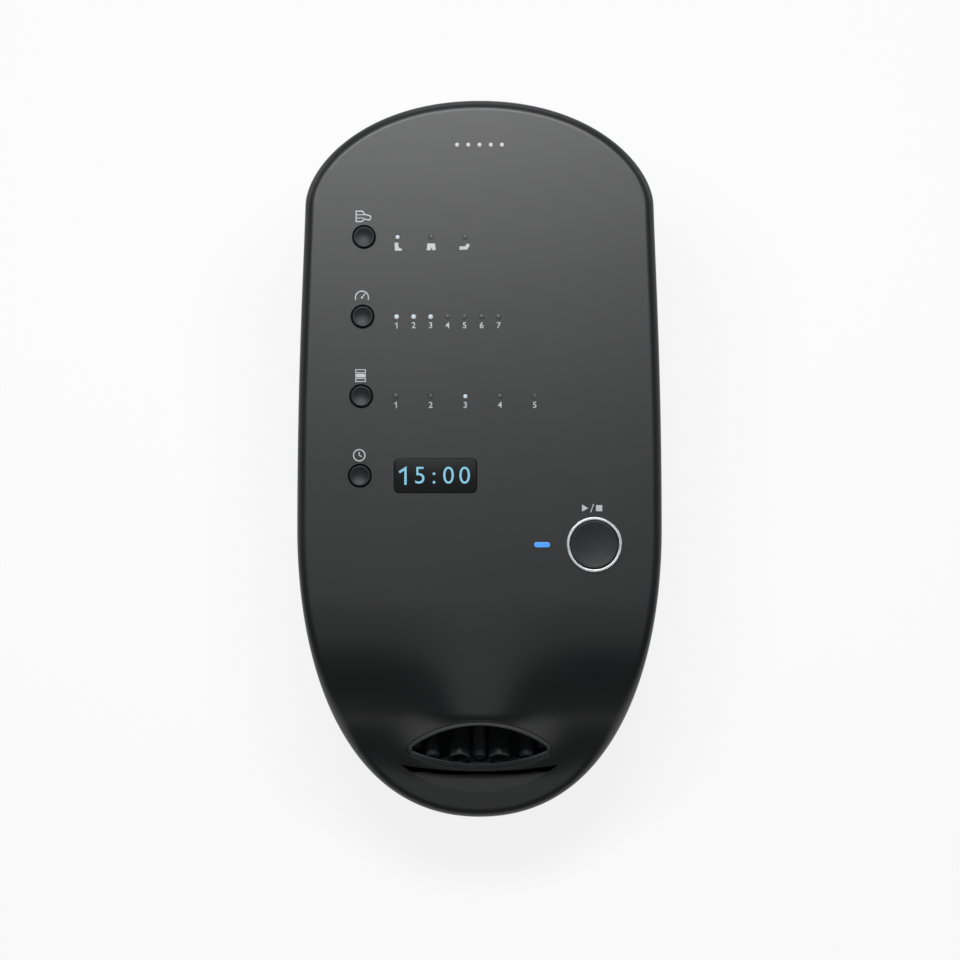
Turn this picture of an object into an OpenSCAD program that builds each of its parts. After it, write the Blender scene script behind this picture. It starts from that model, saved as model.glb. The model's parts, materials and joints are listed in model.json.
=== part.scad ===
// Compression therapy pump: a tabletop air pump for inflatable leg wraps.
// Frame: +Z up, the hose end at -Y, the origin under the middle of the body on the table.
// Pieces of the panel use a tilted frame: u across, v along the panel, w out of it.

/* [Housing] */
// Length of the top cover along the panel
panel_l = 220; // [214:1:236]
// Width of the top cover
panel_w = 111.8; // [108:0.5:122]
// Slope of the panel towards the hose end, degrees
panel_tilt = 12; // [9:0.5:14]
// Overall height above the table
body_h = 101.6; // [100:0.5:112]
// Wall of the top cover
cover_wall = 2.4; // [2:0.1:2.8]
// Round edge of the top cover
rim_r = 3; // [2.6:0.1:3.6]
// Depth of the top cover's side below its round edge
skirt_h = 6.5; // [5.5:0.5:9]
// Length of the housing's underside
base_l = 190; // [184:1:200]
// Width of the housing's underside
base_w = 97; // [94:1:103]
// Wall of the bottom housing
tub_wall = 2.6; // [2.2:0.1:3]
// Round edge of the underside
base_r = 5; // [3.5:0.5:6]
// Shadow gap between cover and housing
parting_gap = 0.3; // [0.2:0.1:0.6]

/* [Nose] */
// Drop from the panel to the toe
toe_drop = 22; // [19:0.5:23]
// Where the nose bridge starts to fall, from the toe end
bridge_start = 36.3; // [33:0.5:40]
// Length of the fall at the bridge
bridge_fall = 25; // [23:0.5:27]
// Where the cheeks start to fall, from the toe end
cheek_start = 59.3; // [56:0.5:62]
// Length of the fall at the cheeks
cheek_fall = 42.8; // [40:0.5:46]
// Half width of the flat part of the bridge
bridge_half_w = 10; // [7:0.5:11]
// Half width where bridge has become cheek
cheek_half_w = 32; // [30:0.5:34]

/* [Hose socket] */
// Half width of the socket mouth
mouth_half_w = 22.6; // [22:0.1:23.5]
// Corners of the mouth, from the toe end
mouth_corner = 20.4; // [19.5:0.1:21]
// Rise of the mouth's upper edge above its corners
mouth_rise = 9.5; // [9:0.1:11]
// Sag of the mouth's lower edge below its corners
mouth_sag = 5.4; // [5:0.1:6]
// Lean of the socket above the panel plane, degrees
socket_lean = 32; // [30:0.5:34]
// Radius of the three large nozzles
nozzle_r = 2.3; // [2:0.1:2.5]
// Radius of the two small outer nozzles
small_nozzle_r = 1.5; // [1.3:0.1:1.6]
// Length of the nozzles in the socket
nozzle_l = 15; // [13:0.5:16]
// Offset of the large outer nozzles
nozzle_u = 14.4; // [14:0.1:14.6]
// Offset of the small outer nozzles
small_nozzle_u = 19.2; // [19:0.1:19.4]
// Radius of the guide barrels
barrel_r = 3.4; // [3:0.1:3.5]
// Offset of the guide barrels
barrel_u = 6.1; // [6:0.1:6.4]
// Radius of the mouth's corners
mouth_round = 2.3; // [1.9:0.1:2.6]
// Depth of the finger relief at its upper edge
relief_d = 1.4; // [0.8:0.1:1.6]
// Half width of the finger relief
relief_half_w = 24.1; // [23:0.1:25]
// Sag of the finger relief's lower edge
relief_sag = 8.6; // [7.5:0.1:9]

/* [Buttons] */
// Radius of the small button caps
key_r = 3.25; // [2.8:0.05:3.6]
// Radius of the start button's cap
start_r = 7.2; // [6.8:0.1:7.6]
// Free space round a button cap
key_gap = 0.3; // [0.3:0.05:0.5]
// Height of the caps above the panel
key_proud = 0.5; // [0.4:0.1:0.9]
// Travel of the buttons
key_travel = 0.5; // [0.3:0.05:0.6]
// Depth of the dish in the small caps
key_dish = 0.55; // [0.3:0.05:0.7]
// Depth of the dish in the start cap
start_dish = 0.9; // [0.5:0.05:1.1]
// Width of the flange that keeps a cap in
key_flange = 1.35; // [1:0.05:1.5]
// Place of the attachment button across the panel
key_u = -35.4; // [-36:0.1:-34.5]
// Slip of the button column outwards, row by row
key_slip = -0.42; // [-0.6:0.02:0]
// Place of the attachment button along the panel
key_v = 68.2; // [67:0.1:69]
// Step between the rows of buttons
key_pitch = 24.4; // [24:0.1:25]
// Place of the start button across the panel
start_u = 35.2; // [34:0.1:36]
// Place of the start button along the panel
start_v = -26.1; // [-28:0.1:-25]
// Width of the metal ring's face round the start button
ring_face = 1.05; // [0.8:0.05:1.4]
// Height of the metal ring above the panel
ring_proud = 0.7; // [0.4:0.1:1]

/* [Lights and display] */
// Radius of the battery light dots
battery_dot_r = 0.6; // [0.5:0.05:0.8]
// Radius of the other light dots
dot_r = 0.75; // [0.6:0.05:0.9]
// Step between the battery lights
battery_pitch = 3.44; // [3.3:0.02:3.8]
// Place of the battery lights from the head end
battery_edge = 13.5; // [13:0.1:14.5]
// First attachment light across the panel
attachment_u = -25.1; // [-25.5:0.1:-24.5]
// Step between the attachment lights
attachment_pitch = 10.3; // [10:0.1:11]
// First pressure light across the panel
pressure_u = -25.4; // [-25.8:0.1:-24.8]
// Step between the pressure lights
pressure_pitch = 5.21; // [5:0.01:5.5]
// First zone light across the panel
zone_u = -25.6; // [-26:0.1:-25]
// Step between the zone lights
zone_pitch = 10.63; // [10.2:0.01:11]
// Width of the display window
window_w = 25.4; // [24:0.1:26.5]
// Height of the display window
window_h = 10.5; // [9.5:0.1:11.5]
// Place of the window across the panel
window_u = -13.5; // [-14:0.1:-12.5]
// Length of the status light
status_l = 4.9; // [4.5:0.1:5.5]
// Radius of the status light
status_r = 0.8; // [0.6:0.05:1]
// Place of the status light across the panel
status_u = 19.2; // [18.5:0.1:20]

/* [Boards] */
// Thickness of the circuit boards
board_t = 1.6; // [1:0.1:2]
// Depth of the panel board's face below the panel
board_w = 8.4; // [8.2:0.1:9.4]
// Space between the two boards
board_space = 8; // [7.6:0.1:9]
// Half width of the panel board
board_half_u = 47; // [46.5:0.1:47.5]
// Half width of the main board
main_half_u = 38; // [37:0.5:40]
// Side of the tact switches
tact_side = 6; // [5.5:0.1:6.2]

/* [Air pump] */
// Radius of the motor can
motor_r = 17.5; // [16:0.25:18]
// Length of the motor can
motor_l = 35.5; // [33:0.5:36]
// Radius of the motor shaft
shaft_r = 2; // [1.5:0.1:2.5]
// Radial play of shafts in their bearings
shaft_play = 0.05; // [0.02:0.01:0.08]
// Throw of the eccentric
throw = 1.2; // [0.8:0.1:1.4]
// Width of the crankcase
crank_w = 30; // [28:0.5:31]
// Length of the crankcase
crank_l = 26; // [25:0.5:27]
// Thickness of the pump heads
head_t = 10.5; // [9:0.5:12]
// Height of the rubber mounts
mount_h = 4.5; // [4:0.1:5.5]
// Thickness of the pump's bracket
bracket_t = 1.5; // [1:0.1:1.5]

/* [Battery] */
// Radius of a battery cell
cell_r = 9.2; // [8.8:0.05:9.25]
// Length of a battery cell
cell_l = 65; // [63:0.5:65]
// Step between the cells
cell_pitch = 19; // [18.9:0.1:19.4]
// Wall of the battery cradle
cradle_wall = 1.6; // [1.2:0.1:1.8]

/* [Rear panel] */
// Width of the rear recess
recess_w = 46; // [45:0.5:48]
// Height of the rear recess
recess_h = 24; // [23:0.5:26]
// Depth of the rear panel below the housing's surface
recess_d = 4; // [3.5:0.1:5]
// Height of the recess above the table
recess_z = 56; // [54:0.5:58]
// Lean of the rear wall, degrees
recess_lean = 6; // [4:0.5:8]
// Thickness of the rear panel
plate_t = 2.5; // [2:0.1:3]
// Radius of the power inlet's bore
inlet_r = 2.8; // [2.6:0.05:3]
// Radius of the power inlet's centre pin
pin_r = 1.05; // [0.95:0.05:1.1]
// Depth of the power inlet's bore
inlet_d = 9; // [8:0.1:10]
// Swing of the power rocker to each side, degrees
rocker_swing = 8; // [6:0.5:9]

/* [Underside] */
// Radius of the rubber feet
foot_r = 5.8; // [5:0.1:6]
// Height of the feet below the housing
foot_proud = 2; // [1.5:0.1:2.5]
// Depth of the feet's seats in the housing
foot_seat = 1; // [0.6:0.1:1.2]
// Thickness of the housing's floor
floor_t = 2.6; // [2.2:0.1:3]
// Radius of the housing screws
screw_r = 1.5; // [1.3:0.05:1.6]
// Length of the intake filter
filter_l = 30; // [26:0.5:32]
// Width of the intake filter
filter_w = 20; // [16:0.5:20]

/* [Hidden] */

$fn = 48;
cut = 0.05;             // how far a cutting tool reaches past a face
seat_gap = 0.3;         // space between a curved piece and its seat

// --- overall places ------------------------------------------------------------------------
half_l = panel_l / 2;
half_w = panel_w / 2;
draft = 0.25;           // how far the cover's side draws in on its way down
panel_z = body_h - (half_l - rim_r) * sin(panel_tilt) - rim_r * (1 - cos(panel_tilt));
head_y = (half_l - draft) * cos(panel_tilt) + (rim_r + skirt_h + parting_gap) * sin(panel_tilt);
toe_y = -(half_l - rim_r) * cos(panel_tilt) + (toe_drop + rim_r) * sin(panel_tilt) - rim_r;
panel_y = -(head_y + toe_y) / 2;
base_y = 1;             // middle of the underside
deck = foot_proud;      // height of the underside
floor_z = deck + floor_t;

// --- outline of the panel ------------------------------------------------------------------
// Three curves make the right half, in parts of the half width and the half length.
shoulder = [0.955, 0.708];
shoulder_dir = [0.06, -1];
waist = [1, -0.197];
CURVES = [
    [[0, 1], [0.626, 1], shoulder - 0.112 * shoulder_dir, shoulder],
    [shoulder, shoulder + 0.183 * shoulder_dir, waist + [0, 0.435], waist],
    [waist, waist - [0, 0.334], [0.79, -1], [0, -1]]];
STEPS = [16, 14, 18];   // points on each curve
function bez(c, t) = c[0] * pow(1 - t, 3) + 3 * c[1] * t * pow(1 - t, 2)
    + 3 * c[2] * t * t * (1 - t) + c[3] * pow(t, 3);
function bez_dir(c, t) = (c[1] - c[0]) * pow(1 - t, 2) + 2 * (c[2] - c[1]) * t * (1 - t)
    + (c[3] - c[2]) * t * t;
function real_size(p) = [p[0] * half_w, p[1] * half_l];
HALF = [for (c = [0:2]) for (i = [0:STEPS[c] - 1])
    let (t = i / STEPS[c], d = real_size(bez_dir(CURVES[c], t)))
    [real_size(bez(CURVES[c], t)), [-d[1], d[0]] / norm(d)]];
// Each entry is a point of the outline and the outward direction there, clockwise from the head.
OUTLINE = concat(HALF, [[[0, -half_l], [0, -1]]],
    [for (i = [len(HALF) - 1:-1:1])
        [[-HALF[i][0][0], HALF[i][0][1]], [-HALF[i][1][0], HALF[i][1][1]]]]);
N = len(OUTLINE);
ring_centre = [0, 0.136 * half_l];

// --- the panel's surface -------------------------------------------------------------------
function ease(x) = let (t = min(1, max(0, x))) t * t * (3 - 2 * t);
function cheek(u) = ease((abs(u) - bridge_half_w) / (cheek_half_w - bridge_half_w));
function fall_start(u) = -half_l + bridge_start + cheek(u) * (cheek_start - bridge_start);
function fall_len(u) = bridge_fall + cheek(u) * (cheek_fall - bridge_fall);
function height(u, v) = -toe_drop * ease((fall_start(u) - v) / fall_len(u));
function stretch(u, v) = let (e = 0.05,
    du = (height(u + e, v) - height(u - e, v)) / (2 * e),
    dv = (height(u, v + e) - height(u, v - e)) / (2 * e)) sqrt(1 + du * du + dv * dv);
function below(q, depth) = height(q[0], q[1]) - depth * stretch(q[0], q[1]);

// --- skins through rings of N points -------------------------------------------------------
module skin(rings) {
    m = len(rings);
    polyhedron(
        points = [for (r = rings) for (p = r) p],
        faces = concat(
            [[for (k = [0:N - 1]) k]],
            [for (j = [0:m - 2]) for (k = [0:N - 1])
                [j * N + k, (j + 1) * N + k, (j + 1) * N + (k + 1) % N]],
            [for (j = [0:m - 2]) for (k = [0:N - 1])
                [j * N + k, (j + 1) * N + (k + 1) % N, j * N + (k + 1) % N]],
            [[for (k = [N - 1:-1:0]) (m - 1) * N + k]]));
}
function flipped(list) = [for (i = [len(list) - 1:-1:0]) list[i]];

// --- rings of the top cover ----------------------------------------------------------------
FRACTIONS = [0.6, 0.65, 0.69, 0.725, 0.755, 0.785, 0.81, 0.835, 0.86, 0.885, 0.91, 0.935];
lip_h = 2.6;            // height of the rebate that takes the housing's tongue
lip_in = cover_wall / 2 - 0.05;
inner_r = 0.8;          // round edge inside the cover
function inset(k, d) = OUTLINE[k][0] - d * OUTLINE[k][1];
function ring_at(depth, d, f) = [for (k = [0:N - 1])
    let (q = ring_centre + f * (inset(k, d) - ring_centre)) [q[0], q[1], below(q, depth)]];
function round_ring(depth, d, r, a) = [for (k = [0:N - 1])
    let (q = inset(k, d + r * (1 - sin(a)))) [q[0], q[1], below(q, depth) - r * (1 - cos(a))]];
function side_ring(d, up) = [for (k = [0:N - 1])
    let (p = OUTLINE[k][0], q = inset(k, d))
    [q[0], q[1], height(p[0], p[1]) - rim_r - skirt_h + up]];
module cover_shell() {
    skin(concat(
        [for (f = FRACTIONS) ring_at(0, 0, f)],
        [for (a = [0, 22, 45, 68, 90]) round_ring(0, 0, rim_r, a)],
        [side_ring(draft, 0), side_ring(draft + lip_in, 0), side_ring(draft + lip_in, lip_h),
            side_ring(cover_wall + draft, lip_h)],
        [for (a = [90, 45, 0]) round_ring(cover_wall, cover_wall, inner_r, a)],
        [for (f = flipped(FRACTIONS)) ring_at(cover_wall, cover_wall + inner_r, f)]));
}

// --- frames --------------------------------------------------------------------------------
module on_panel() {
    translate([0, panel_y, panel_z]) rotate([panel_tilt, 0, 0]) children();
}
function panel_point(u, v, w) = [u,
    panel_y + v * cos(panel_tilt) - w * sin(panel_tilt),
    panel_z + v * sin(panel_tilt) + w * cos(panel_tilt)];

// A block under the panel's surface, its top at the given depth. It is used for trimming.
module under(u0, u1, v0, v1, depth, bottom, nu, nv) {
    function id(i, j) = i * (nv + 1) + j;
    c = (nu + 1) * (nv + 1);
    polyhedron(
        points = concat(
            [for (i = [0:nu]) for (j = [0:nv])
                let (u = u0 + (u1 - u0) * i / nu, v = v0 + (v1 - v0) * j / nv)
                [u, v, below([u, v], depth)]],
            [[u0, v0, bottom], [u1, v0, bottom], [u1, v1, bottom], [u0, v1, bottom]]),
        faces = concat(
            [for (i = [0:nu - 1]) for (j = [0:nv - 1]) [id(i, j), id(i, j + 1), id(i + 1, j + 1)]],
            [for (i = [0:nu - 1]) for (j = [0:nv - 1]) [id(i, j), id(i + 1, j + 1), id(i + 1, j)]],
            [concat([c], [for (i = [0:nu]) id(i, 0)], [c + 1]),
                concat([c + 1], [for (j = [0:nv]) id(nu, j)], [c + 2]),
                concat([c + 2], [for (i = [nu:-1:0]) id(i, nv)], [c + 3]),
                concat([c + 3], [for (j = [nv:-1:0]) id(0, j)], [c]),
                [c, c + 1, c + 2, c + 3]]));
}

// --- hose socket places --------------------------------------------------------------------
mouth_v = -half_l + mouth_corner;
mouth_arc_w = mouth_half_w + 0.7 * mouth_round; // where the two arcs would meet
mouth_top_r = (mouth_arc_w * mouth_arc_w + mouth_rise * mouth_rise) / (2 * mouth_rise);
mouth_low_r = (mouth_arc_w * mouth_arc_w + mouth_sag * mouth_sag) / (2 * mouth_sag);
mouth_top_c = mouth_v + mouth_rise - mouth_top_r;   // middle of the upper arc
mouth_low_c = mouth_v - mouth_sag + mouth_low_r;    // middle of the lower arc
round_v = (pow(mouth_top_r - mouth_round, 2) - pow(mouth_low_r - mouth_round, 2)
    - mouth_top_c * mouth_top_c + mouth_low_c * mouth_low_c) / (2 * (mouth_low_c - mouth_top_c));
round_u = sqrt(pow(mouth_top_r - mouth_round, 2) - pow(round_v - mouth_top_c, 2));
relief_v = mouth_v - 4.3;   // corners of the finger relief
relief_top_sag = 2;         // sag of the relief's upper edge
relief_slope = 7;           // slope of the relief's floor, degrees
bezel_gap = 0.3;        // between the socket's bezel and the mouth
bezel_t = 1.2;          // wall of the bezel
bezel_depth = 1.6;      // from the cover's surface down to the bezel
tip_v = mouth_v - 1.9;
tip_w = -toe_drop + 1.6;
socket_wall = 4;        // wall that carries the nozzles
cavity_half_w = mouth_half_w - 1.2;
cavity_floor = 3.2;     // from the nozzle row down to the cavity's floor
cavity_top = 12.5;      // from the nozzle row up to the top of the cavity's arch
cavity_side = 2.2;      // from the nozzle row up to where the cavity's sides end
cavity_sag = cavity_top + cavity_floor;
cavity_r = (cavity_half_w * cavity_half_w + cavity_sag * cavity_sag) / (2 * cavity_sag);
shell_t = 2.1;          // wall of the socket
gasket_t = 1;
nozzle_plate_t = 2.5;
plate_z = -nozzle_l - socket_wall - gasket_t - nozzle_plate_t;
spigot_r = 1.2;
spigot_l = 4;
air_tube_r = 2;
small_nozzle_drop = 0.8; // the small nozzles sit a little lower and end earlier
small_nozzle_short = 3.5;
// Each nozzle has its place across, its height in the row, its radius and where it ends.
NOZZLES = [[0, 0, nozzle_r - 0.15, 0], [nozzle_u, 0, nozzle_r, 0], [-nozzle_u, 0, nozzle_r, 0],
    [small_nozzle_u, -small_nozzle_drop, small_nozzle_r, -small_nozzle_short],
    [-small_nozzle_u, -small_nozzle_drop, small_nozzle_r, -small_nozzle_short]];
ear_u = 29.5;           // screws that hold the socket
ear_v = mouth_v + 11.5;
ear_w = -toe_drop + 0.5;
ear_t = 2.5;
module on_socket() {
    on_panel() translate([0, tip_v, tip_w]) rotate([90 - socket_lean, 0, 0]) children();
}
// The mouth's lens shape in the panel's plane, drawn in by d.
module lens(d) {
    top_c = [0, mouth_top_c];
    low_c = [0, mouth_low_c];
    middle = [round_u, round_v];
    a = top_c + (mouth_top_r - d) * (middle - top_c) / norm(middle - top_c);
    b = low_c + (mouth_low_r - d) * (middle - low_c) / norm(middle - low_c);
    far = 2 * mouth_low_r;
    intersection() {
        translate(top_c) circle(r = mouth_top_r - d, $fn = 96);
        translate(low_c) circle(r = mouth_low_r - d, $fn = 96);
        polygon([[a[0], a[1]], [a[0], far], [-a[0], far], [-a[0], a[1]],
            [-b[0], b[1]], [-b[0], -far], [b[0], -far], [b[0], b[1]]]);
    }
    for (s = [-1, 1]) translate([s * round_u, round_v]) circle(r = mouth_round - d);
}
// The finger relief's crescent, between two arcs.
function arc_r(w, sag) = (w * w + sag * sag) / (2 * sag);
module crescent() {
    low_r = arc_r(relief_half_w, relief_sag);
    top_r = arc_r(relief_half_w, relief_top_sag);
    difference() {
        translate([0, relief_v - relief_sag + low_r]) circle(r = low_r, $fn = 96);
        translate([0, relief_v - relief_top_sag + top_r]) circle(r = top_r, $fn = 180);
    }
}
module cavity_shape(grow) {
    w = cavity_half_w + grow;
    intersection() {
        translate([0, cavity_top - cavity_r]) circle(r = cavity_r + grow, $fn = 96);
        translate([-w, -cavity_floor - grow]) square([2 * w, 2 * cavity_r]);
    }
    translate([-w, -cavity_floor - grow]) square([2 * w, cavity_floor + cavity_side + 2 * grow]);
}

// --- bottom housing rings ------------------------------------------------------------------
function joint_point(k, d, up) = let (p = OUTLINE[k][0], q = inset(k, d))
    panel_point(q[0], q[1], height(p[0], p[1]) - rim_r - skirt_h - parting_gap + up);
function base_xy(k) = let (p = OUTLINE[k][0])
    [p[0] * base_w / panel_w, base_y + p[1] * base_l / panel_l];
function wall_xy(k, z, d) = let (j = joint_point(k, draft, 0), top = [j[0], j[1]],
    s = min(1, max(0, (j[2] - z) / (j[2] - deck))))
    top + (base_xy(k) - top) * pow(s, 1.6) - d * OUTLINE[k][1];
function level_ring(s, low, d) = [for (k = [0:N - 1])
    let (z = low + (joint_point(k, draft, 0)[2] - low) * (1 - s), q = wall_xy(k, z, d))
    [q[0], q[1], z]];
function flat_ring(low, d, r, a) = [for (k = [0:N - 1])
    let (z = low + r * (1 - cos(a)), q = wall_xy(k, z, d + r * (1 - sin(a)))) [q[0], q[1], z]];
function joint_ring(d, up) = [for (k = [0:N - 1]) joint_point(k, draft + d, up)];
LEVELS = [0.16, 0.32, 0.48, 0.64, 0.8];
inner_base_r = base_r - 2;
tongue_h = lip_h - 0.4;
module tub_shell() {
    skin(concat(
        [for (a = [0, 45, 90]) flat_ring(floor_z, tub_wall, inner_base_r, a)],
        [for (s = flipped(LEVELS)) level_ring(s, floor_z + inner_base_r, tub_wall)],
        [joint_ring(tub_wall, 0), joint_ring(tub_wall, tongue_h),
            joint_ring(lip_in + seat_gap, tongue_h), joint_ring(lip_in + seat_gap, 0),
            joint_ring(0, 0)],
        [for (s = LEVELS) level_ring(s, deck + base_r, 0)],
        [for (a = [90, 67, 45, 22, 0]) flat_ring(deck, 0, base_r, a)]));
}

// --- housing screws ------------------------------------------------------------------------
front_screw = [27, -60];
rear_screw = [28, 84];
SCREWS = [for (p = [front_screw, rear_screw]) for (s = [-1, 1]) [s * p[0], p[1]]];
boss_r = 4.6;
well_r = 2.75;
post_r = 3.6;
split_z = 46;           // where the housing's bosses end
well_z = 36;            // how deep the screw wells reach
screw_l = 18;
head_r = 2.5;
pilot_r = screw_r + 0.1;

// --- rear recess ---------------------------------------------------------------------------
function rear_point(z) = let (j = joint_point(0, draft, 0), s = (j[2] - z) / (j[2] - deck))
    j[1] + (base_xy(0)[1] - j[1]) * pow(s, 1.6);
recess_wall = 2;
ledge_d = recess_d + plate_t;
frame_d = ledge_d + 2.5;
rear_curve_r = 90;      // the housing's curve round its rear end
module on_rear() {
    translate([0, rear_point(recess_z), recess_z]) rotate([90 + recess_lean, 0, 180]) children();
}
module slab(w, h, z0, z1) {
    translate([-w / 2, -h / 2, z0]) cube([w, h, z1 - z0]);
}
ledge_w = recess_w - 12;
ledge_h = recess_h - 4;
inlet_u = -9;
inlet_body_r = 5;
switch_u = 8.5;
switch_w = 8.6;
switch_l = 12.6;
rear_screw_u = 20;

// --- panel layout --------------------------------------------------------------------------
battery_v = half_l - battery_edge;
KEYS = [for (i = [0:3]) [key_u + i * key_slip, key_v - i * key_pitch]];
key_hole_r = key_r + key_gap;
start_hole_r = start_r + key_gap + 0.6;
ring_in_r = start_r + key_gap;
status_v = start_v;
window_v = KEYS[3][1];
window_r = 1.5;
DOTS = [
    [[for (i = [-2:2]) [i * battery_pitch, battery_v]], battery_dot_r],
    [[for (i = [0:2]) [attachment_u + i * attachment_pitch, KEYS[0][1]]], dot_r],
    [[for (i = [0:6]) [pressure_u + i * pressure_pitch, KEYS[1][1]]], dot_r],
    [[for (i = [0:4]) [zone_u + i * zone_pitch, KEYS[2][1]]], dot_r]];
board_top = -board_w;
board_low = board_top - board_t;
main_top = board_low - board_space;
main_low = main_top - board_t;
led_h = 0.8;
BOARD_POSTS = [for (v = [56, 7, -36]) for (s = [-1, 1]) [s * 43, v]];
board_post_r = 3;
board_screw_r = 1.1;
stem_r = 1.4;
switch_h = 3.4;         // height of a tact switch's body
flange_t = 1.1;
flange_top = -cover_wall - seat_gap;
plunger_top = flange_top - flange_t - 0.2;
plunger_r = 1.6;
plunger_play = 0.05;
plunger_l = 2.2;

// --- pump places ---------------------------------------------------------------------------
bracket_z = floor_z + mount_h;
pump_bed = bracket_z + bracket_t;
crank_z = pump_bed + motor_r + 1;
crank_y = -28;          // front of the crankcase
crank_back = crank_y + crank_l;
motor_back = crank_back + motor_l;
crank_cavity_r = 12;
diaphragm_t = 1.2;
diaphragm_r = 10;
head_in = crank_w / 2 + diaphragm_t;
head_out = head_in + head_t;
head_z0 = pump_bed + 1;
head_z1 = crank_z + 14;
can_t = 1.2;
armature_r = motor_r - can_t - 3;
feed_x = 18.5;
feed_z = 17;
feed_r = 2.6;
feed_spigot_r = 1.5;
bracket_x = 40;         // half width of the bracket
mount_r = 4.5;
mount_edge = 4;         // from the bracket's sides to the rubber mounts
bracket_y0 = crank_y + 1;
bracket_y1 = motor_back + 1.5;
MOUNTS = [for (y = [bracket_y0 + 7, bracket_y1 - 7]) for (s = [-1, 1]) [s * (bracket_x - mount_edge), y]];

// --- manifold places -----------------------------------------------------------------------
tube_lean = socket_lean - panel_tilt;
bend_r = 8;
tip_point = panel_point(0, tip_v, tip_w);
tube_start = tip_point + plate_z * [0, -cos(tube_lean), sin(tube_lean)];
bend_start = tube_start + (spigot_l + 1) * [0, cos(tube_lean), -sin(tube_lean)];
bend_mid = bend_start + bend_r * [0, -sin(tube_lean), -cos(tube_lean)];
port_y = bend_mid[1] + bend_r;
manifold_z = 20;        // top of the manifold
manifold_x = 21.8;
manifold_front = port_y - 4;
manifold_back = -38;
valve_pitch = 8.8;
valve_w = 8.2;
valve_l = 11;
valve_h = 20;
valve_y = port_y + air_tube_r + 1;
sensor_port_y = manifold_back - 2.6;

// --- battery places ------------------------------------------------------------------------
strap_t = 1.2;
motor_tail = 2;         // rear bearing of the motor
cell_y0 = motor_back + motor_tail + 0.8 + strap_t + cradle_wall + seat_gap + cell_r;
cell_z0 = floor_z + cradle_wall + seat_gap + cell_r;
cradle_y0 = cell_y0 - cell_r - seat_gap - cradle_wall;
cradle_y1 = cell_y0 + cell_pitch + cell_r + seat_gap + cradle_wall;
cradle_x = cell_l / 2 + 1.3 + cradle_wall;
cradle_h = 26;
strap_w = 14;
pack_top = cell_z0 + cell_pitch + cell_r;

// --- underside -----------------------------------------------------------------------------
FEET = [for (p = [[22, -76], [33, 64]]) for (s = [-1, 1]) [s * p[0], p[1]]];
filter_y = 2;
filter_cover_t = 1.2;
filter_h = 3.6;
filter_rim = 2;         // how far the filter cover reaches past the filter

// A round lead or tube through points in the body's own frame.
module swept(path, r, sides) {
    n = len(path);
    function heading(i) = let (d = path[min(n - 1, i + 1)] - path[max(0, i - 1)]) d / norm(d);
    function side_of(t) = let (s = cross(t, abs(t[0]) > 0.8 ? [0, 1, 0] : [1, 0, 0])) s / norm(s);
    function frames(i, s) = i == n ? [] : let (t = heading(i), p = s - (s * t) * t, q = p / norm(p))
        concat([[q, cross(t, q)]], frames(i + 1, q));
    f = frames(0, side_of(heading(0)));
    polyhedron(
        points = [for (i = [0:n - 1]) for (a = [0:sides - 1])
            path[i] + r * cos(360 * a / sides) * f[i][0] + r * sin(360 * a / sides) * f[i][1]],
        faces = concat(
            [[for (a = [0:sides - 1]) a]],
            [for (i = [0:n - 2]) for (a = [0:sides - 1])
                [i * sides + a, (i + 1) * sides + a, (i + 1) * sides + (a + 1) % sides]],
            [for (i = [0:n - 2]) for (a = [0:sides - 1])
                [i * sides + a, (i + 1) * sides + (a + 1) % sides, i * sides + (a + 1) % sides]],
            [[for (a = [sides - 1:-1:0]) (n - 1) * sides + a]]));
}
// A hose with a bore, through points in the body's own frame that lie in a plane of constant X.
module hose(path, r, bore, sides) {
    n = len(path);
    function heading(i) = let (d = path[min(n - 1, i + 1)] - path[max(0, i - 1)]) d / norm(d);
    function ring(i, q) = let (t = heading(i), up = cross(t, [1, 0, 0]))
        [for (a = [0:sides - 1]) path[i] + q * cos(360 * a / sides) * [1, 0, 0]
            + q * sin(360 * a / sides) * up];
    rings = concat([for (i = [0:n - 1]) ring(i, r)], [for (i = [n - 1:-1:0]) ring(i, bore)]);
    m = len(rings);
    polyhedron(
        points = [for (g = rings) for (p = g) p],
        faces = concat(
            [for (i = [0:m - 1]) for (a = [0:sides - 1]) let (j = (i + 1) % m, b = (a + 1) % sides)
                [i * sides + a, j * sides + a, j * sides + b]],
            [for (i = [0:m - 1]) for (a = [0:sides - 1]) let (j = (i + 1) % m, b = (a + 1) % sides)
                [i * sides + a, j * sides + b, i * sides + b]]));
}
// Points on a smooth curve through a hand-chosen route.
function smooth(p, steps) = concat(
    [for (i = [0:len(p) - 2]) for (j = [0:steps - 1])
        let (t = j / steps, a = p[max(0, i - 1)], b = p[i], c = p[i + 1], d = p[min(len(p) - 1, i + 2)])
        0.5 * (2 * b + (c - a) * t + (2 * a - 5 * b + 4 * c - d) * t * t
            + (3 * b - a - 3 * c + d) * t * t * t)],
    [p[len(p) - 1]]);
// The same with straight ends: from a along da, and into b from b + db.
function lead_path(a, da, between, b, db, steps) =
    concat([a], smooth(concat([a + da], between, [b + db]), steps), [b]);

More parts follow.
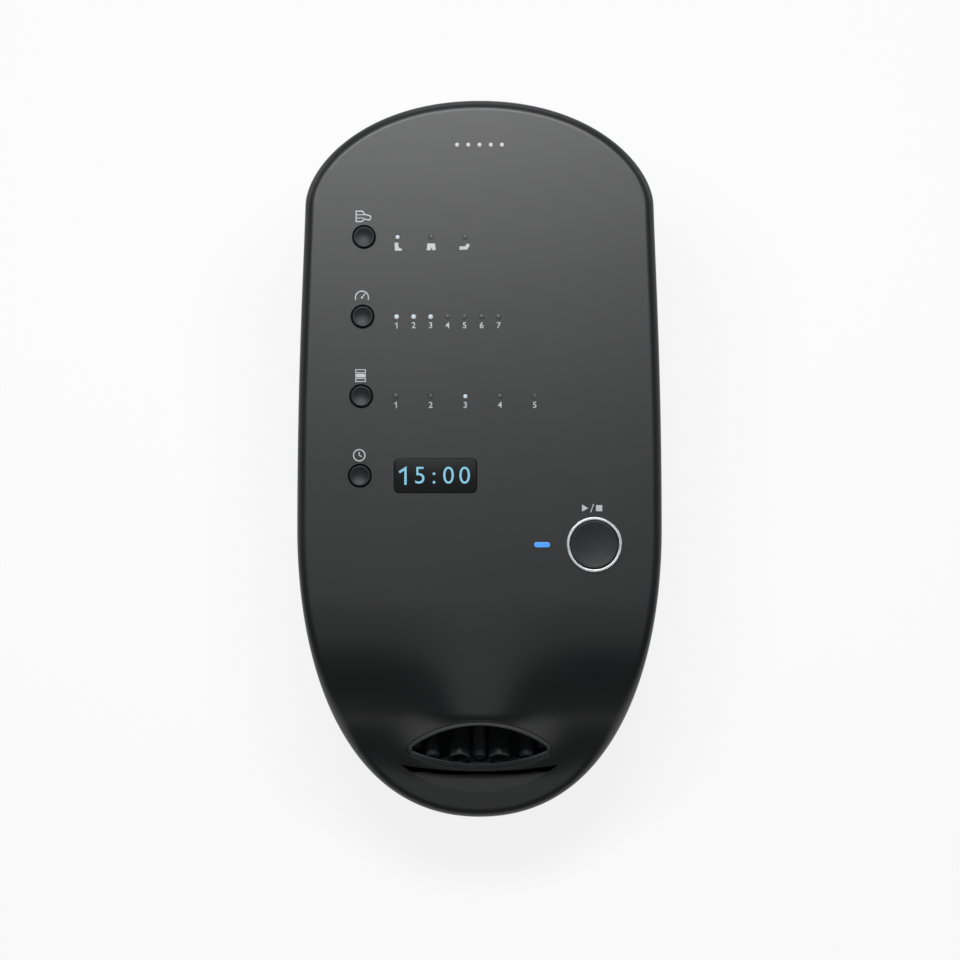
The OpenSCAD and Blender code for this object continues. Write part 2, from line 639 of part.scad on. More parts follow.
// --- top cover -----------------------------------------------------------------------------
module key_holes() {
    for (k = KEYS) translate([k[0], k[1], -cover_wall - 1]) cylinder(r = key_hole_r, h = cover_wall + 3);
    translate([start_u, start_v, -cover_wall - 1]) cylinder(r = start_hole_r, h = cover_wall + 3);
}
module status_shape(d) {
    for (s = [-1, 1]) translate([s * (status_l / 2 - status_r), 0]) circle(r = status_r + d);
    square([status_l - 2 * status_r, 2 * (status_r + d)], center = true);
}
module window_shape(d) {
    w = window_w / 2 + d;
    h = window_h / 2 + d;
    for (x = [-1, 1]) for (y = [-1, 1])
        translate([x * (w - window_r), y * (h - window_r)]) circle(r = window_r, $fn = 32);
    square([2 * w, 2 * (h - window_r)], center = true);
    square([2 * (w - window_r), 2 * h], center = true);
}
module top_cover() {
    color("dimgray") difference() {
        union() {
            on_panel() cover_shell();
            for (p = SCREWS) intersection() {
                translate([p[0], p[1], split_z]) cylinder(r = post_r, h = panel_z + half_l);
                on_panel() under(p[0] - 6, p[0] + 6, (p[1] - panel_y) - 12, (p[1] - panel_y) + 12,
                    cover_wall / 2, -body_h, 4, 6);
            }
            on_panel() {
                for (p = BOARD_POSTS) translate([p[0], p[1], board_top])
                    cylinder(r = board_post_r, h = board_w - cover_wall / 2);
                for (s = [-1, 1]) intersection() {
                    translate([s * ear_u, ear_v, ear_w]) cylinder(r = board_post_r, h = toe_drop);
                    under(s * ear_u - 5, s * ear_u + 5, ear_v - 5, ear_v + 5, cover_wall / 2,
                        -toe_drop - 10, 4, 4);
                }
            }
        }
        for (p = SCREWS) translate([p[0], p[1], split_z - cut]) cylinder(r = screw_r - 0.2, h = 12);
        on_panel() {
            key_holes();
            for (g = DOTS) for (p = g[0])
                translate([p[0], p[1], -cover_wall - 1])
                    cylinder(r = g[1] + 0.05, h = cover_wall + 3, $fn = 24);
            translate([status_u, status_v, -cover_wall - 1]) linear_extrude(cover_wall + 3)
                status_shape(0.05);
            translate([window_u, window_v, -cover_wall - 1]) linear_extrude(cover_wall + 3)
                window_shape(0.1);
            translate([0, 0, -toe_drop - 8]) linear_extrude(toe_drop + 10) lens(0);
            intersection() {
                translate([0, 0, -toe_drop - 4]) linear_extrude(9) crescent();
                translate([0, relief_v, -toe_drop - relief_d]) rotate([-relief_slope, 0, 0])
                    translate([-relief_half_w - 1, -2 * relief_sag, 0])
                        cube([2 * relief_half_w + 2, 4 * relief_sag, 9]);
            }
            for (p = BOARD_POSTS) translate([p[0], p[1], board_top - cut])
                cylinder(r = board_screw_r - 0.15, h = 5);
            for (s = [-1, 1]) translate([s * ear_u, ear_v, ear_w - cut])
                cylinder(r = board_screw_r - 0.15, h = 5);
        }
    }
}

// --- bottom housing ------------------------------------------------------------------------
module bottom_housing() {
    color("dimgray") difference() {
        union() {
            tub_shell();
            for (p = SCREWS) translate([p[0], p[1], deck + floor_t / 2])
                cylinder(r = boss_r, h = split_z - seat_gap - deck - floor_t / 2);
            intersection() {
                on_rear() slab(recess_w + 2 * recess_wall, recess_h + 2 * recess_wall, -frame_d, 3);
                translate([0, rear_point(recess_z) - 1.2 - rear_curve_r, recess_z])
                    rotate([-recess_lean, 0, 0])
                    translate([0, 0, -30]) cylinder(r = rear_curve_r, h = 60, $fn = 180);
            }
            for (p = MOUNTS) translate([p[0], p[1], floor_z - floor_t / 2])
                cylinder(r = 2.2, h = floor_t / 2 + mount_h);
        }
        for (p = SCREWS) {
            translate([p[0], p[1], deck - cut]) cylinder(r = well_r, h = well_z - deck + cut);
            translate([p[0], p[1], well_z - 1]) cylinder(r = pilot_r, h = split_z - well_z + 1);
        }
        on_rear() {
            slab(recess_w, recess_h, -ledge_d, 8);
            slab(ledge_w, ledge_h, -frame_d - 1, 0);
            for (s = [-1, 1]) translate([s * rear_screw_u, 0, -frame_d - 1]) cylinder(r = 0.9, h = 4);
        }
        for (p = FEET) translate([p[0], p[1], deck - 1]) cylinder(r = foot_r + 0.2, h = foot_seat + 1);
        translate([-filter_l / 2, filter_y - filter_w / 2, deck - 1])
            cube([filter_l, filter_w, floor_t + 2]);
        translate([-filter_l / 2 - filter_rim, filter_y - filter_w / 2 - filter_rim, deck - 1])
            cube([filter_l + 2 * filter_rim, filter_w + 2 * filter_rim, filter_cover_t + 1]);
        for (p = MOUNTS) translate([p[0], p[1], floor_z - 0.6]) cylinder(r = 0.9, h = mount_h + 1);
    }
}
module housing_screws() {
    color("silver") for (p = SCREWS) translate([p[0], p[1], well_z - 2.4]) difference() {
        union() {
            cylinder(r = head_r, h = 2.4);
            cylinder(r = screw_r - 0.25, h = screw_l);
        }
        translate([0, 0, -cut]) cylinder(r = 1.4, h = 1.4, $fn = 6);
    }
}
module rubber_feet() {
    color("black") for (p = FEET) translate([p[0], p[1], 0]) difference() {
        rotate_extrude() polygon([[0, 0], [foot_r - 0.6, 0], [foot_r, 0.6],
            [foot_r, foot_proud + foot_seat], [0, foot_proud + foot_seat]]);
        translate([0, 0, -cut]) cylinder(r = foot_r * 0.45, h = 0.6);
    }
}
module filter_cover() {
    w = filter_l + 2 * filter_rim - 0.4;
    h = filter_w + 2 * filter_rim - 0.4;
    color("dimgray") translate([0, filter_y, deck]) difference() {
        slab(w, h, 0, filter_cover_t);
        for (i = [-3:3]) translate([i * filter_l / 8, 0, 0])
            slab(1.6, filter_w - 4, -cut, filter_cover_t + cut);
        translate([-w / 2 - 1, -2, -cut]) cube([2, 4, 0.7]);
    }
}
module intake_filter() {
    color("darkslategray") translate([0, filter_y, deck + filter_cover_t])
        slab(filter_l - 0.5, filter_w - 0.5, 0, filter_h);
}

// --- lights, window and display ------------------------------------------------------------
guide_bar = 1.4;        // thickness of the bars that join the light dots
led_top = board_top + led_h;
module guide(points, r) {
    u0 = points[0][0];
    u1 = points[len(points) - 1][0];
    for (p = points) translate([p[0], p[1], 0]) {
        translate([0, 0, -cover_wall]) cylinder(r = r, h = cover_wall - 0.05, $fn = 24);
        translate([0, 0, led_top + 0.2])
            cylinder(r = r + 0.15, h = -cover_wall - guide_bar - led_top, $fn = 24);
    }
    translate([u0 - 1.5, points[0][1] - 1.4, -cover_wall - guide_bar]) cube([u1 - u0 + 3, 2.8, guide_bar]);
}
module light_guides() {
    color("whitesmoke") on_panel() for (g = DOTS) guide(g[0], g[1]);
}
module status_light_guide() {
    color("dodgerblue") on_panel() translate([status_u, status_v, 0]) {
        translate([0, 0, -cover_wall]) linear_extrude(cover_wall - 0.05) status_shape(0);
        slab(status_l + 1.5, 3.2, -cover_wall - guide_bar, -cover_wall);
        translate([0, 0, led_top + 0.2]) cylinder(r = 0.9, h = -cover_wall - guide_bar - led_top, $fn = 24);
    }
}
module display_window() {
    color("darkslategray") on_panel() translate([window_u, window_v, -cover_wall])
        linear_extrude(cover_wall - 0.15) window_shape(0);
}
module display_module() {
    color("black") on_panel() translate([window_u, window_v, 0]) difference() {
        slab(30, 14, board_top, -cover_wall - 0.1);
        slab(window_w - 2, window_h - 3, -cover_wall - 0.7, -cover_wall);
    }
}

// --- boards --------------------------------------------------------------------------------
board_half_v = 54;      // half length of the panel board's wide part
board_tab_u = 15;       // half width of its narrow part under the battery lights
board_edge = 9;         // from the head end to the narrow part's edge
board_corner_r = 6;
module panel_board() {
    color("darkgreen") on_panel() difference() {
        union() {
            slab(2 * board_half_u, 2 * board_half_v, board_low, board_top);
            translate([-board_tab_u, 0, board_low]) cube([2 * board_tab_u, half_l - board_edge, board_t]);
        }
        for (p = BOARD_POSTS) translate([p[0], p[1], board_low - 1])
            cylinder(r = board_screw_r + 0.1, h = board_t + 2);
        for (p = SPACERS) translate([p[0], p[1], board_low - 1]) cylinder(r = 1.3, h = board_t + 2);
        for (s = [-1, 1]) translate([s * board_half_u, board_half_v, board_low - 1])
            cylinder(r = board_corner_r, h = board_t + 2);
    }
}
SPACERS = [for (v = [55, -24]) for (s = [-1, 1]) [s * 28, v]];
module panel_board_screws() {
    color("silver") on_panel() for (p = BOARD_POSTS) translate([p[0], p[1], board_low - 1.3]) difference() {
        union() {
            cylinder(r = 2, h = 1.3);
            cylinder(r = board_screw_r - 0.2, h = 6);
        }
        translate([0, 0, -cut]) cylinder(r = 0.9, h = 0.8, $fn = 6);
    }
}
module indicator_leds() {
    color("lightyellow") on_panel() {
        for (g = DOTS) for (p = g[0]) translate([p[0], p[1], 0]) slab(1.6, 1.2, board_top, led_top);
        translate([status_u, status_v, 0]) slab(2, 1.2, board_top, led_top);
    }
}
function key_places() = concat(KEYS, [[start_u, start_v]]);
module tact_switches() {
    color("gray") on_panel() for (p = key_places()) translate([p[0], p[1], 0]) difference() {
        union() {
            slab(tact_side, tact_side, board_top, board_top + switch_h - 0.5);
            translate([0, 0, board_top]) cylinder(r = 2.5, h = switch_h);
        }
        translate([0, 0, plunger_top - plunger_l - key_travel - 1])
            cylinder(r = plunger_r + plunger_play, h = switch_h);
    }
}
module plunger(p) {
    color("ivory") on_panel() translate([p[0], p[1], plunger_top - plunger_l])
        cylinder(r = plunger_r, h = plunger_l);
}
module attachment_plunger() { plunger(KEYS[0]); }
module pressure_plunger() { plunger(KEYS[1]); }
module zone_plunger() { plunger(KEYS[2]); }
module time_plunger() { plunger(KEYS[3]); }
module start_plunger() { plunger([start_u, start_v]); }
module button(p, r, dish) {
    dish_r = (pow(r - 0.45, 2) + dish * dish) / (2 * dish);
    color("darkslategray") on_panel() translate([p[0], p[1], 0]) difference() {
        union() {
            translate([0, 0, flange_top]) cylinder(r = r, h = key_proud - flange_top - 0.3);
            translate([0, 0, key_proud - 0.3]) rotate_extrude()
                polygon([[0, 0], [r, 0], [r - 0.3, 0.3], [0, 0.3]]);
            translate([0, 0, flange_top - flange_t]) cylinder(r = r + key_flange, h = flange_t);
            translate([0, 0, plunger_top]) cylinder(r = stem_r, h = flange_top - plunger_top);
        }
        translate([0, 0, key_proud - dish + dish_r]) sphere(r = dish_r, $fn = 96);
    }
}
module attachment_button() { button(KEYS[0], key_r, key_dish); }
module pressure_button() { button(KEYS[1], key_r, key_dish); }
module zone_button() { button(KEYS[2], key_r, key_dish); }
module time_button() { button(KEYS[3], key_r, key_dish); }
module start_button() { button([start_u, start_v], start_r, start_dish); }
module start_ring() {
    color("silver") on_panel() translate([start_u, start_v, 0]) rotate_extrude($fn = 96)
        polygon([[ring_in_r, -cover_wall], [start_hole_r - 0.05, -cover_wall], [start_hole_r - 0.05, 0],
            [ring_in_r + ring_face, 0], [ring_in_r + ring_face, ring_proud * 0.4],
            [ring_in_r + ring_face * 0.7, ring_proud], [ring_in_r + ring_face * 0.3, ring_proud],
            [ring_in_r, ring_proud * 0.5]]);
}
main_v0 = -31;          // front edge of the main board
main_v1 = 59;           // rear edge of the main board
module main_board() {
    color("darkgreen") on_panel() difference() {
        translate([-main_half_u, main_v0, main_low]) cube([2 * main_half_u, main_v1 - main_v0, board_t]);
        for (p = SPACERS) translate([p[0], p[1], main_low - 1]) cylinder(r = 1.3, h = board_t + 2);
    }
}
module board_spacers() {
    color("goldenrod") on_panel() for (p = SPACERS) translate([p[0], p[1], 0]) {
        translate([0, 0, main_top]) cylinder(r = 2.6, h = board_space, $fn = 6);
        translate([0, 0, main_low - 1.2]) cylinder(r = 1.2, h = 2 * board_t + board_space + 2.4);
        for (z = [main_low - 1.5, board_top]) translate([0, 0, z]) cylinder(r = 2.2, h = 1.5, $fn = 6);
    }
}
module board_header() {
    color("black") on_panel() translate([0, 52, 0]) slab(36, 5, main_top, board_low);
}
lead_r = 1.4;
power_plug = [22, 44];
battery_plug = [-18, 44];
plug_w = 9;
plug_l = 7;
plug_h = 5.5;
module board_components() {
    color("slategray") on_panel() {
        translate([0, 8, 0]) slab(12, 12, main_top, main_top + 1.2);
        translate([-22, 12, 0]) slab(9, 7, main_top, main_top + 1.5);
        for (p = [[20, -12], [28, -8], [12, -18]]) translate([p[0], p[1], main_top])
            cylinder(r = 3.2, h = 6.5);
        for (p = [[-22, -14], [-10, -18]]) translate([p[0], p[1], 0]) slab(8, 8, main_top, main_top + 4);
        for (i = [-2:2]) translate([i * 7, 28, 0]) slab(4, 3, main_top, main_top + 1.5);
        for (p = [power_plug, battery_plug]) translate([p[0], p[1], 0])
            slab(plug_w, plug_l, main_low - plug_h, main_low);
        translate([-20, -20, 0]) slab(2.5, 2, board_top, board_top + 1);
        for (p = [[8, 60], [-8, 78], [22, 10], [20, 30]]) translate([p[0], p[1], 0])
            slab(5, 4, board_top, board_top + 1.6);
    }
}
module buzzer() {
    color("black") on_panel() translate([26, 22, main_top]) difference() {
        cylinder(r = 6, h = 5.5);
        translate([0, 0, 4.5]) cylinder(r = 1.2, h = 2);
    }
}
sensor_u = 0;
sensor_side = 8;
sensor_h = 4.5;
sensor_v = main_v0 + sensor_side / 2;
sensor_w = main_low - sensor_h / 2;
sensor_port_r = 1.3;
module pressure_sensor() {
    color("darkslategray") on_panel() translate([sensor_u, sensor_v, 0]) {
        slab(sensor_side + 1, sensor_side, main_low - sensor_h, main_low);
        translate([0, 1 - sensor_side / 2, sensor_w]) rotate([90, 0, 0]) cylinder(r = sensor_port_r, h = 5);
    }
}
module sensor_tube() {
    a = panel_point(sensor_u, sensor_v - sensor_side, sensor_w);
    b = [0, sensor_port_y, manifold_z + 3];
    color("whitesmoke") swept(lead_path(a, [0, -2 * cos(panel_tilt), -2 * sin(panel_tilt)],
        [[0, (a[1] + b[1]) / 2 - 4, (a[2] + b[2]) / 2 + 2]], b, [0, 0, 3], 4), 1.5, 8);
}

// --- hose socket ---------------------------------------------------------------------------
module socket_body(grow) {
    on_socket() translate([0, 0, -nozzle_l - socket_wall])
        linear_extrude(nozzle_l + socket_wall + 18) cavity_shape(grow);
}
module socket_shell() {
    difference() {
        union() {
            intersection() {
                on_panel() under(-mouth_half_w - 5, mouth_half_w + 5, -half_l + 8, -half_l + 48,
                    cover_wall + 0.9, -toe_drop - 30, 14, 14);
                union() {
                    socket_body(shell_t);
                    on_panel() for (s = [-1, 1]) translate([s * (ear_u - 4), ear_v, 0])
                        slab(14, 9, ear_w - ear_t, ear_w);
                }
                on_socket() translate([-40, -40, plate_z]) cube([80, 80, -plate_z + 1]);
            }
            intersection() {
                on_panel() under(-mouth_half_w - 2, mouth_half_w + 2, -half_l + 10, -half_l + 34,
                    bezel_depth, -toe_drop - 30, 14, 10);
                on_panel() translate([0, 0, -toe_drop - 12]) linear_extrude(toe_drop + 12) lens(bezel_gap);
                socket_body(shell_t + 12);
            }
        }
        on_socket() translate([0, 0, -nozzle_l]) linear_extrude(nozzle_l + 30) cavity_shape(0);
        intersection() {
            on_panel() translate([0, 0, -toe_drop - 4]) linear_extrude(toe_drop + 12)
                lens(bezel_gap + bezel_t);
            on_socket() translate([0, 0, -nozzle_l]) linear_extrude(nozzle_l + 60)
                translate([-40, -cavity_floor]) square([80, 60]);
        }
        on_socket() for (n = NOZZLES) translate([n[0], n[1], -nozzle_l - socket_wall - 1])
            cylinder(r = n[2] + 0.1, h = socket_wall + 2);
        on_panel() for (s = [-1, 1]) translate([s * ear_u, ear_v, ear_w - ear_t - 1])
            cylinder(r = board_screw_r + 0.1, h = ear_t + 2);
    }
}
module air_socket() {
    color("black") difference() {
        union() {
            socket_shell();
            on_socket() for (s = [-1, 1]) translate([s * barrel_u, 0, -nozzle_l - 1])
                cylinder(r = barrel_r, h = nozzle_l + 1.5);
        }
        on_socket() for (s = [-1, 1]) translate([s * barrel_u, 0, -6]) cylinder(r = barrel_r - 1.2, h = 7);
    }
}
module nozzle_plate() {
    color("dimgray") on_socket() difference() {
        union() {
            slab(2 * small_nozzle_u + 6, 10, plate_z, plate_z + nozzle_plate_t);
            for (n = NOZZLES) translate([n[0], n[1], 0]) {
                translate([0, 0, plate_z]) cylinder(r = n[2], h = n[3] - 1 - plate_z);
                translate([0, 0, n[3] - 1]) rotate_extrude()
                    polygon([[0, 0], [n[2], 0], [n[2] * 0.72, 1], [0, 1]]);
            }
            for (n = NOZZLES) translate([n[0], 0, plate_z - spigot_l])
                cylinder(r = spigot_r, h = spigot_l + 1);
        }
        for (n = NOZZLES) {
            translate([n[0], n[1], plate_z + 1]) cylinder(r = 0.7, h = -plate_z);
            translate([n[0], 0, plate_z - spigot_l - 1]) cylinder(r = 0.7, h = spigot_l + 3);
        }
    }
}
module nozzle_gasket() {
    color("maroon") on_socket() difference() {
        slab(2 * small_nozzle_u + 6, 10, plate_z + nozzle_plate_t, plate_z + nozzle_plate_t + gasket_t);
        for (n = NOZZLES) translate([n[0], n[1], plate_z]) cylinder(r = n[2] + 0.1, h = 8);
    }
}
module socket_screws() {
    color("silver") on_panel() for (s = [-1, 1]) translate([s * ear_u, ear_v, ear_w - ear_t - 1.3]) {
        cylinder(r = 2, h = 1.3);
        cylinder(r = board_screw_r - 0.2, h = 7);
    }
}

// --- air path ------------------------------------------------------------------------------
module tube_part(l, r, bore) {
    difference() {
        cylinder(r = r, h = l);
        translate([0, 0, -1]) cylinder(r = bore, h = l + 2);
    }
}
bend_steps = 6;
function tube_path(x) = concat(
    [[x, tube_start[1], tube_start[2]]],
    [for (i = [0:bend_steps]) let (a = (90 - tube_lean) * (1 - i / bend_steps))
        [x, bend_mid[1] + bend_r * cos(a), bend_mid[2] + bend_r * sin(a)]],
    [[x, port_y, manifold_z]]);
module air_tubes() {
    color("whitesmoke") {
        for (n = NOZZLES) hose(tube_path(n[0]), air_tube_r, spigot_r + 0.2, 8);
        for (s = [-1, 1]) translate([s * feed_x, crank_y, feed_z]) rotate([90, 0, 0])
            tube_part(crank_y - manifold_back, feed_r, feed_spigot_r + 0.05);
    }
}
module valve_manifold() {
    color("gray") difference() {
        union() {
            translate([-manifold_x, manifold_front, floor_z])
                cube([2 * manifold_x, manifold_back - manifold_front, manifold_z - floor_z]);
            for (n = NOZZLES) translate([n[0], port_y, manifold_z - 1])
                cylinder(r = spigot_r, h = spigot_l);
            for (s = [-1, 1]) translate([s * feed_x, manifold_back, feed_z]) rotate([-90, 0, 0])
                cylinder(r = feed_spigot_r, h = 4);
            translate([0, sensor_port_y, manifold_z - 1]) cylinder(r = 1.3, h = 4);
        }
        for (n = NOZZLES) translate([n[0], port_y, floor_z + 5]) cylinder(r = 0.7, h = 30);
        for (s = [-1, 1]) translate([s * feed_x, manifold_back - 8, feed_z]) rotate([-90, 0, 0])
            cylinder(r = 0.9, h = 20);
    }
}
module zone_valves() {
    color("royalblue") for (i = [-2:2]) translate([i * valve_pitch, valve_y + valve_l / 2, manifold_z]) {
        slab(valve_w, valve_l, 0, 4);
        translate([0, 0, 4]) cylinder(r = valve_w / 2 - 0.3, h = valve_h - 7);
        slab(valve_w, valve_l, valve_h - 3, valve_h);
    }
}

// --- air pump ------------------------------------------------------------------------------
module along_shaft(y) {
    translate([0, y, crank_z]) rotate([-90, 0, 0]) children();
}
module pump_motor() {
    color("silver") difference() {
        union() {
            along_shaft(crank_back) cylinder(r = motor_r, h = motor_l, $fn = 96);
            along_shaft(motor_back - 0.5) cylinder(r = 6, h = motor_tail + 0.5);
        }
        along_shaft(crank_back + 2) cylinder(r = motor_r - can_t, h = motor_l - 4, $fn = 96);
        along_shaft(crank_back - 1) cylinder(r = shaft_r + shaft_play, h = motor_l + 1.5);
    }
}
module motor_armature() {
    color("peru") {
        along_shaft(crank_back + 5) cylinder(r = armature_r, h = motor_l - 12, $fn = 64);
        along_shaft(crank_y + 4) cylinder(r = shaft_r, h = crank_l + motor_l - 4);
    }
}
module pump_eccentric() {
    color("gray") along_shaft(crank_y + 9) difference() {
        translate([throw, 0, 0]) cylinder(r = 6, h = 8);
        translate([0, 0, -1]) cylinder(r = shaft_r + 0.02, h = 10);
    }
}
module pump_crankcase() {
    color("darkgray") difference() {
        translate([-crank_w / 2, crank_y, pump_bed]) cube([crank_w, crank_l, crank_z + 15 - pump_bed]);
        along_shaft(crank_y + 3) cylinder(r = crank_cavity_r, h = crank_l, $fn = 96);
        translate([-crank_w / 2 - 1, crank_y + 13, crank_z]) rotate([0, 90, 0])
            cylinder(r = 4, h = crank_w + 2);
    }
}
module diaphragm_rods() {
    color("ivory") difference() {
        union() {
            along_shaft(crank_y + 10) cylinder(r = 10, h = 6);
            translate([-crank_w / 2, crank_y + 13, crank_z]) rotate([0, 90, 0])
                cylinder(r = 2.4, h = crank_w);
        }
        along_shaft(crank_y + 2) cylinder(r = 6 + throw + seat_gap, h = 22);
    }
}
module pump_diaphragms() {
    color("black") for (s = [-1, 1]) translate([s * crank_w / 2, crank_y + 13, crank_z])
        rotate([0, s * 90, 0])
        cylinder(r = diaphragm_r, h = diaphragm_t);
}
module pump_heads() {
    color("darkgray") for (s = [-1, 1]) difference() {
        union() {
            translate([s > 0 ? head_in : -head_out, crank_y, head_z0])
                cube([head_t, crank_l, head_z1 - head_z0]);
            translate([s * (head_out - 1), crank_y + 13, crank_z]) rotate([0, s * 90, 0])
                cylinder(r = 9, h = 4);
            translate([s * feed_x, crank_y + 1, feed_z]) rotate([90, 0, 0])
                cylinder(r = feed_spigot_r, h = 5);
        }
        translate([s * feed_x, crank_y + 8, feed_z]) rotate([90, 0, 0]) cylinder(r = 0.9, h = 20);
        for (y = [3, crank_l - 3]) for (z = [head_z0 + 3, head_z1 - 3])
            translate([s * (head_in - 1), crank_y + y, z]) rotate([0, s * 90, 0])
                cylinder(r = 1.3, h = head_t + 3);
    }
}
module pump_head_screws() {
    color("silver") for (s = [-1, 1]) for (y = [3, crank_l - 3]) for (z = [head_z0 + 3, head_z1 - 3])
        translate([s * head_in, crank_y + y, z]) rotate([0, s * 90, 0]) {
            cylinder(r = 1.1, h = head_t + 1);
            translate([0, 0, head_t]) cylinder(r = 2.2, h = 1.5);
        }
}
module pump_bracket() {
    color("silver") difference() {
        union() {
            translate([-bracket_x, bracket_y0, bracket_z])
                cube([2 * bracket_x, bracket_y1 - bracket_y0, bracket_t]);
            translate([-10, crank_back + 16, bracket_z]) cube([20, 10, bracket_t + 4]);
        }
        along_shaft(0) cylinder(r = motor_r + seat_gap, h = 60, $fn = 96);
        for (p = MOUNTS) translate([p[0], p[1], bracket_z - 1]) cylinder(r = 1.6, h = 5);
    }
}
module pump_mounts() {
    color("black") for (p = MOUNTS) translate([p[0], p[1], floor_z]) difference() {
        cylinder(r = mount_r, h = mount_h);
        translate([0, 0, -1]) cylinder(r = 2.4, h = mount_h + 2);
        translate([0, 0, mount_h / 2]) rotate_extrude() translate([mount_r + 0.4, 0]) circle(r = 1);
    }
}

// --- battery -------------------------------------------------------------------------------
module battery_cells() {
    color("seagreen") for (i = [0, 1]) for (j = [0, 1])
        translate([-cell_l / 2, cell_y0 + i * cell_pitch, cell_z0 + j * cell_pitch]) rotate([0, 90, 0]) {
            cylinder(r = cell_r, h = cell_l);
            cylinder(r = 3, h = cell_l + 0.8);
        }
}
module battery_tabs() {
    color("silver") {
        for (i = [0, 1]) translate([cell_l / 2 + 0.8, cell_y0 + i * cell_pitch - 3.5, cell_z0 - 4])
            cube([0.3, 7, cell_pitch + 8]);
        translate([-cell_l / 2 - 0.3, cell_y0 - 3.5, cell_z0 + 0.3]) cube([0.3, cell_pitch + 7, 6]);
        for (i = [0, 1])
            translate([-cell_l / 2 - 0.3, cell_y0 + i * cell_pitch - 3.5, cell_z0 + cell_pitch - 4])
            cube([0.3, 7, 8]);
    }
}
module battery_cradle() {
    color("dimgray") difference() {
        translate([-cradle_x, cradle_y0, floor_z]) cube([2 * cradle_x, cradle_y1 - cradle_y0, cradle_h]);
        translate([-cradle_x + cradle_wall, cradle_y0 + cradle_wall, cell_z0])
            cube([2 * (cradle_x - cradle_wall), cradle_y1 - cradle_y0 - 2 * cradle_wall, cradle_h]);
        for (i = [0, 1]) translate([-cradle_x + cradle_wall, cell_y0 + i * cell_pitch, cell_z0])
            rotate([0, 90, 0])
            cylinder(r = cell_r + seat_gap, h = 2 * (cradle_x - cradle_wall));
    }
}
module battery_strap() {
    y0 = cradle_y0 - strap_t;
    y1 = cradle_y1 + strap_t;
    z0 = floor_z + 4;
    z1 = pack_top + seat_gap;
    color("silver") translate([-strap_w / 2, 0, 0]) {
        translate([0, y0, z0]) cube([strap_w, strap_t, z1 + strap_t - z0]);
        translate([0, y1 - strap_t, z0]) cube([strap_w, strap_t, z1 + strap_t - z0]);
        translate([0, y0, z1]) cube([strap_w, y1 - y0, strap_t]);
    }
}
function plug_end(p) = panel_point(p[0], p[1], main_low - plug_h);
inward = [0, sin(panel_tilt), -cos(panel_tilt)];
module battery_lead() {
    a = plug_end(battery_plug);
    b = [-cell_l / 2 - 0.3, cell_y0 + cell_pitch, cell_z0 + cell_pitch + 2];
    color("firebrick") swept(lead_path(a, 2 * inward, [[-24, 52, 54], [-35, 60, 47]],
        b, [-2.5, 0, 0], 4), lead_r, 8);
}

// --- rear panel ----------------------------------------------------------------------------
module rear_panel() {
    color("dimgray") on_rear() difference() {
        slab(recess_w - 0.6, recess_h - 0.6, -ledge_d, -recess_d);
        translate([inlet_u, 0, -ledge_d - 1]) cylinder(r = inlet_body_r + 0.1, h = plate_t + 2);
        translate([switch_u, 0, 0]) slab(switch_w + 0.2, switch_l + 0.2, -ledge_d - 1, -recess_d + 1);
        for (s = [-1, 1]) translate([s * rear_screw_u, 0, -ledge_d - 1]) cylinder(r = 1.2, h = plate_t + 2);
    }
}
inlet_back = -recess_d + 1 - inlet_d - 3;
module power_inlet() {
    color("black") on_rear() translate([inlet_u, 0, 0]) difference() {
        union() {
            translate([0, 0, -recess_d]) cylinder(r = inlet_body_r + 1, h = 1);
            translate([0, 0, inlet_back]) cylinder(r = inlet_body_r, h = -recess_d - inlet_back);
        }
        translate([0, 0, -recess_d + 1 - inlet_d]) cylinder(r = inlet_r, h = inlet_d + 1);
    }
}
module inlet_pin() {
    color("gold") on_rear() translate([inlet_u, 0, -recess_d + 1 - inlet_d])
        cylinder(r = pin_r, h = inlet_d - 1);
}
function rear_dir() = [0, -cos(recess_lean), sin(recess_lean)];
module power_lead() {
    a = [-inlet_u, rear_point(recess_z), recess_z] - inlet_back * rear_dir();
    b = plug_end(power_plug);
    color("black") swept(lead_path(a, 3 * rear_dir(), [[13, 74, 60], [21, 58, 54]], b, 3 * inward, 4),
        lead_r, 8);
}
rocker_r = 5.4;
rocker_half = 3.5;
rocker_axis = -recess_d - 1.2;
rocker_top = 2.6;       // from the rocker's axis to the dip in its middle
rocker_rise = 6 * tan(rocker_swing); // its ends stand up by its swing
module rocker_switch() {
    color("black") on_rear() translate([switch_u, 0, 0]) difference() {
        union() {
            slab(switch_w + 2, switch_l + 2.4, -recess_d, -recess_d + 1.2);
            slab(switch_w, switch_l, -recess_d - 9, -recess_d);
        }
        slab(2 * rocker_half + 0.6, 2 * rocker_r + 0.8, rocker_axis - rocker_r - 0.4, 0);
        translate([-10, 0, rocker_axis]) rotate([0, 90, 0]) cylinder(r = 0.95, h = 20);
    }
}
module power_rocker() {
    color("black") on_rear() translate([switch_u, 0, rocker_axis]) {
        rotate([90, 0, 90]) translate([0, 0, -rocker_half]) linear_extrude(2 * rocker_half) intersection() {
            circle(r = rocker_r);
            polygon([[-6, -2.5], [6, -2.5], [6, rocker_top + rocker_rise], [0, rocker_top],
                [-6, rocker_top + rocker_rise]]);
        }
        translate([-switch_w / 2 + 0.1, 0, 0]) rotate([0, 90, 0]) cylinder(r = 0.9, h = switch_w - 0.2);
    }
}

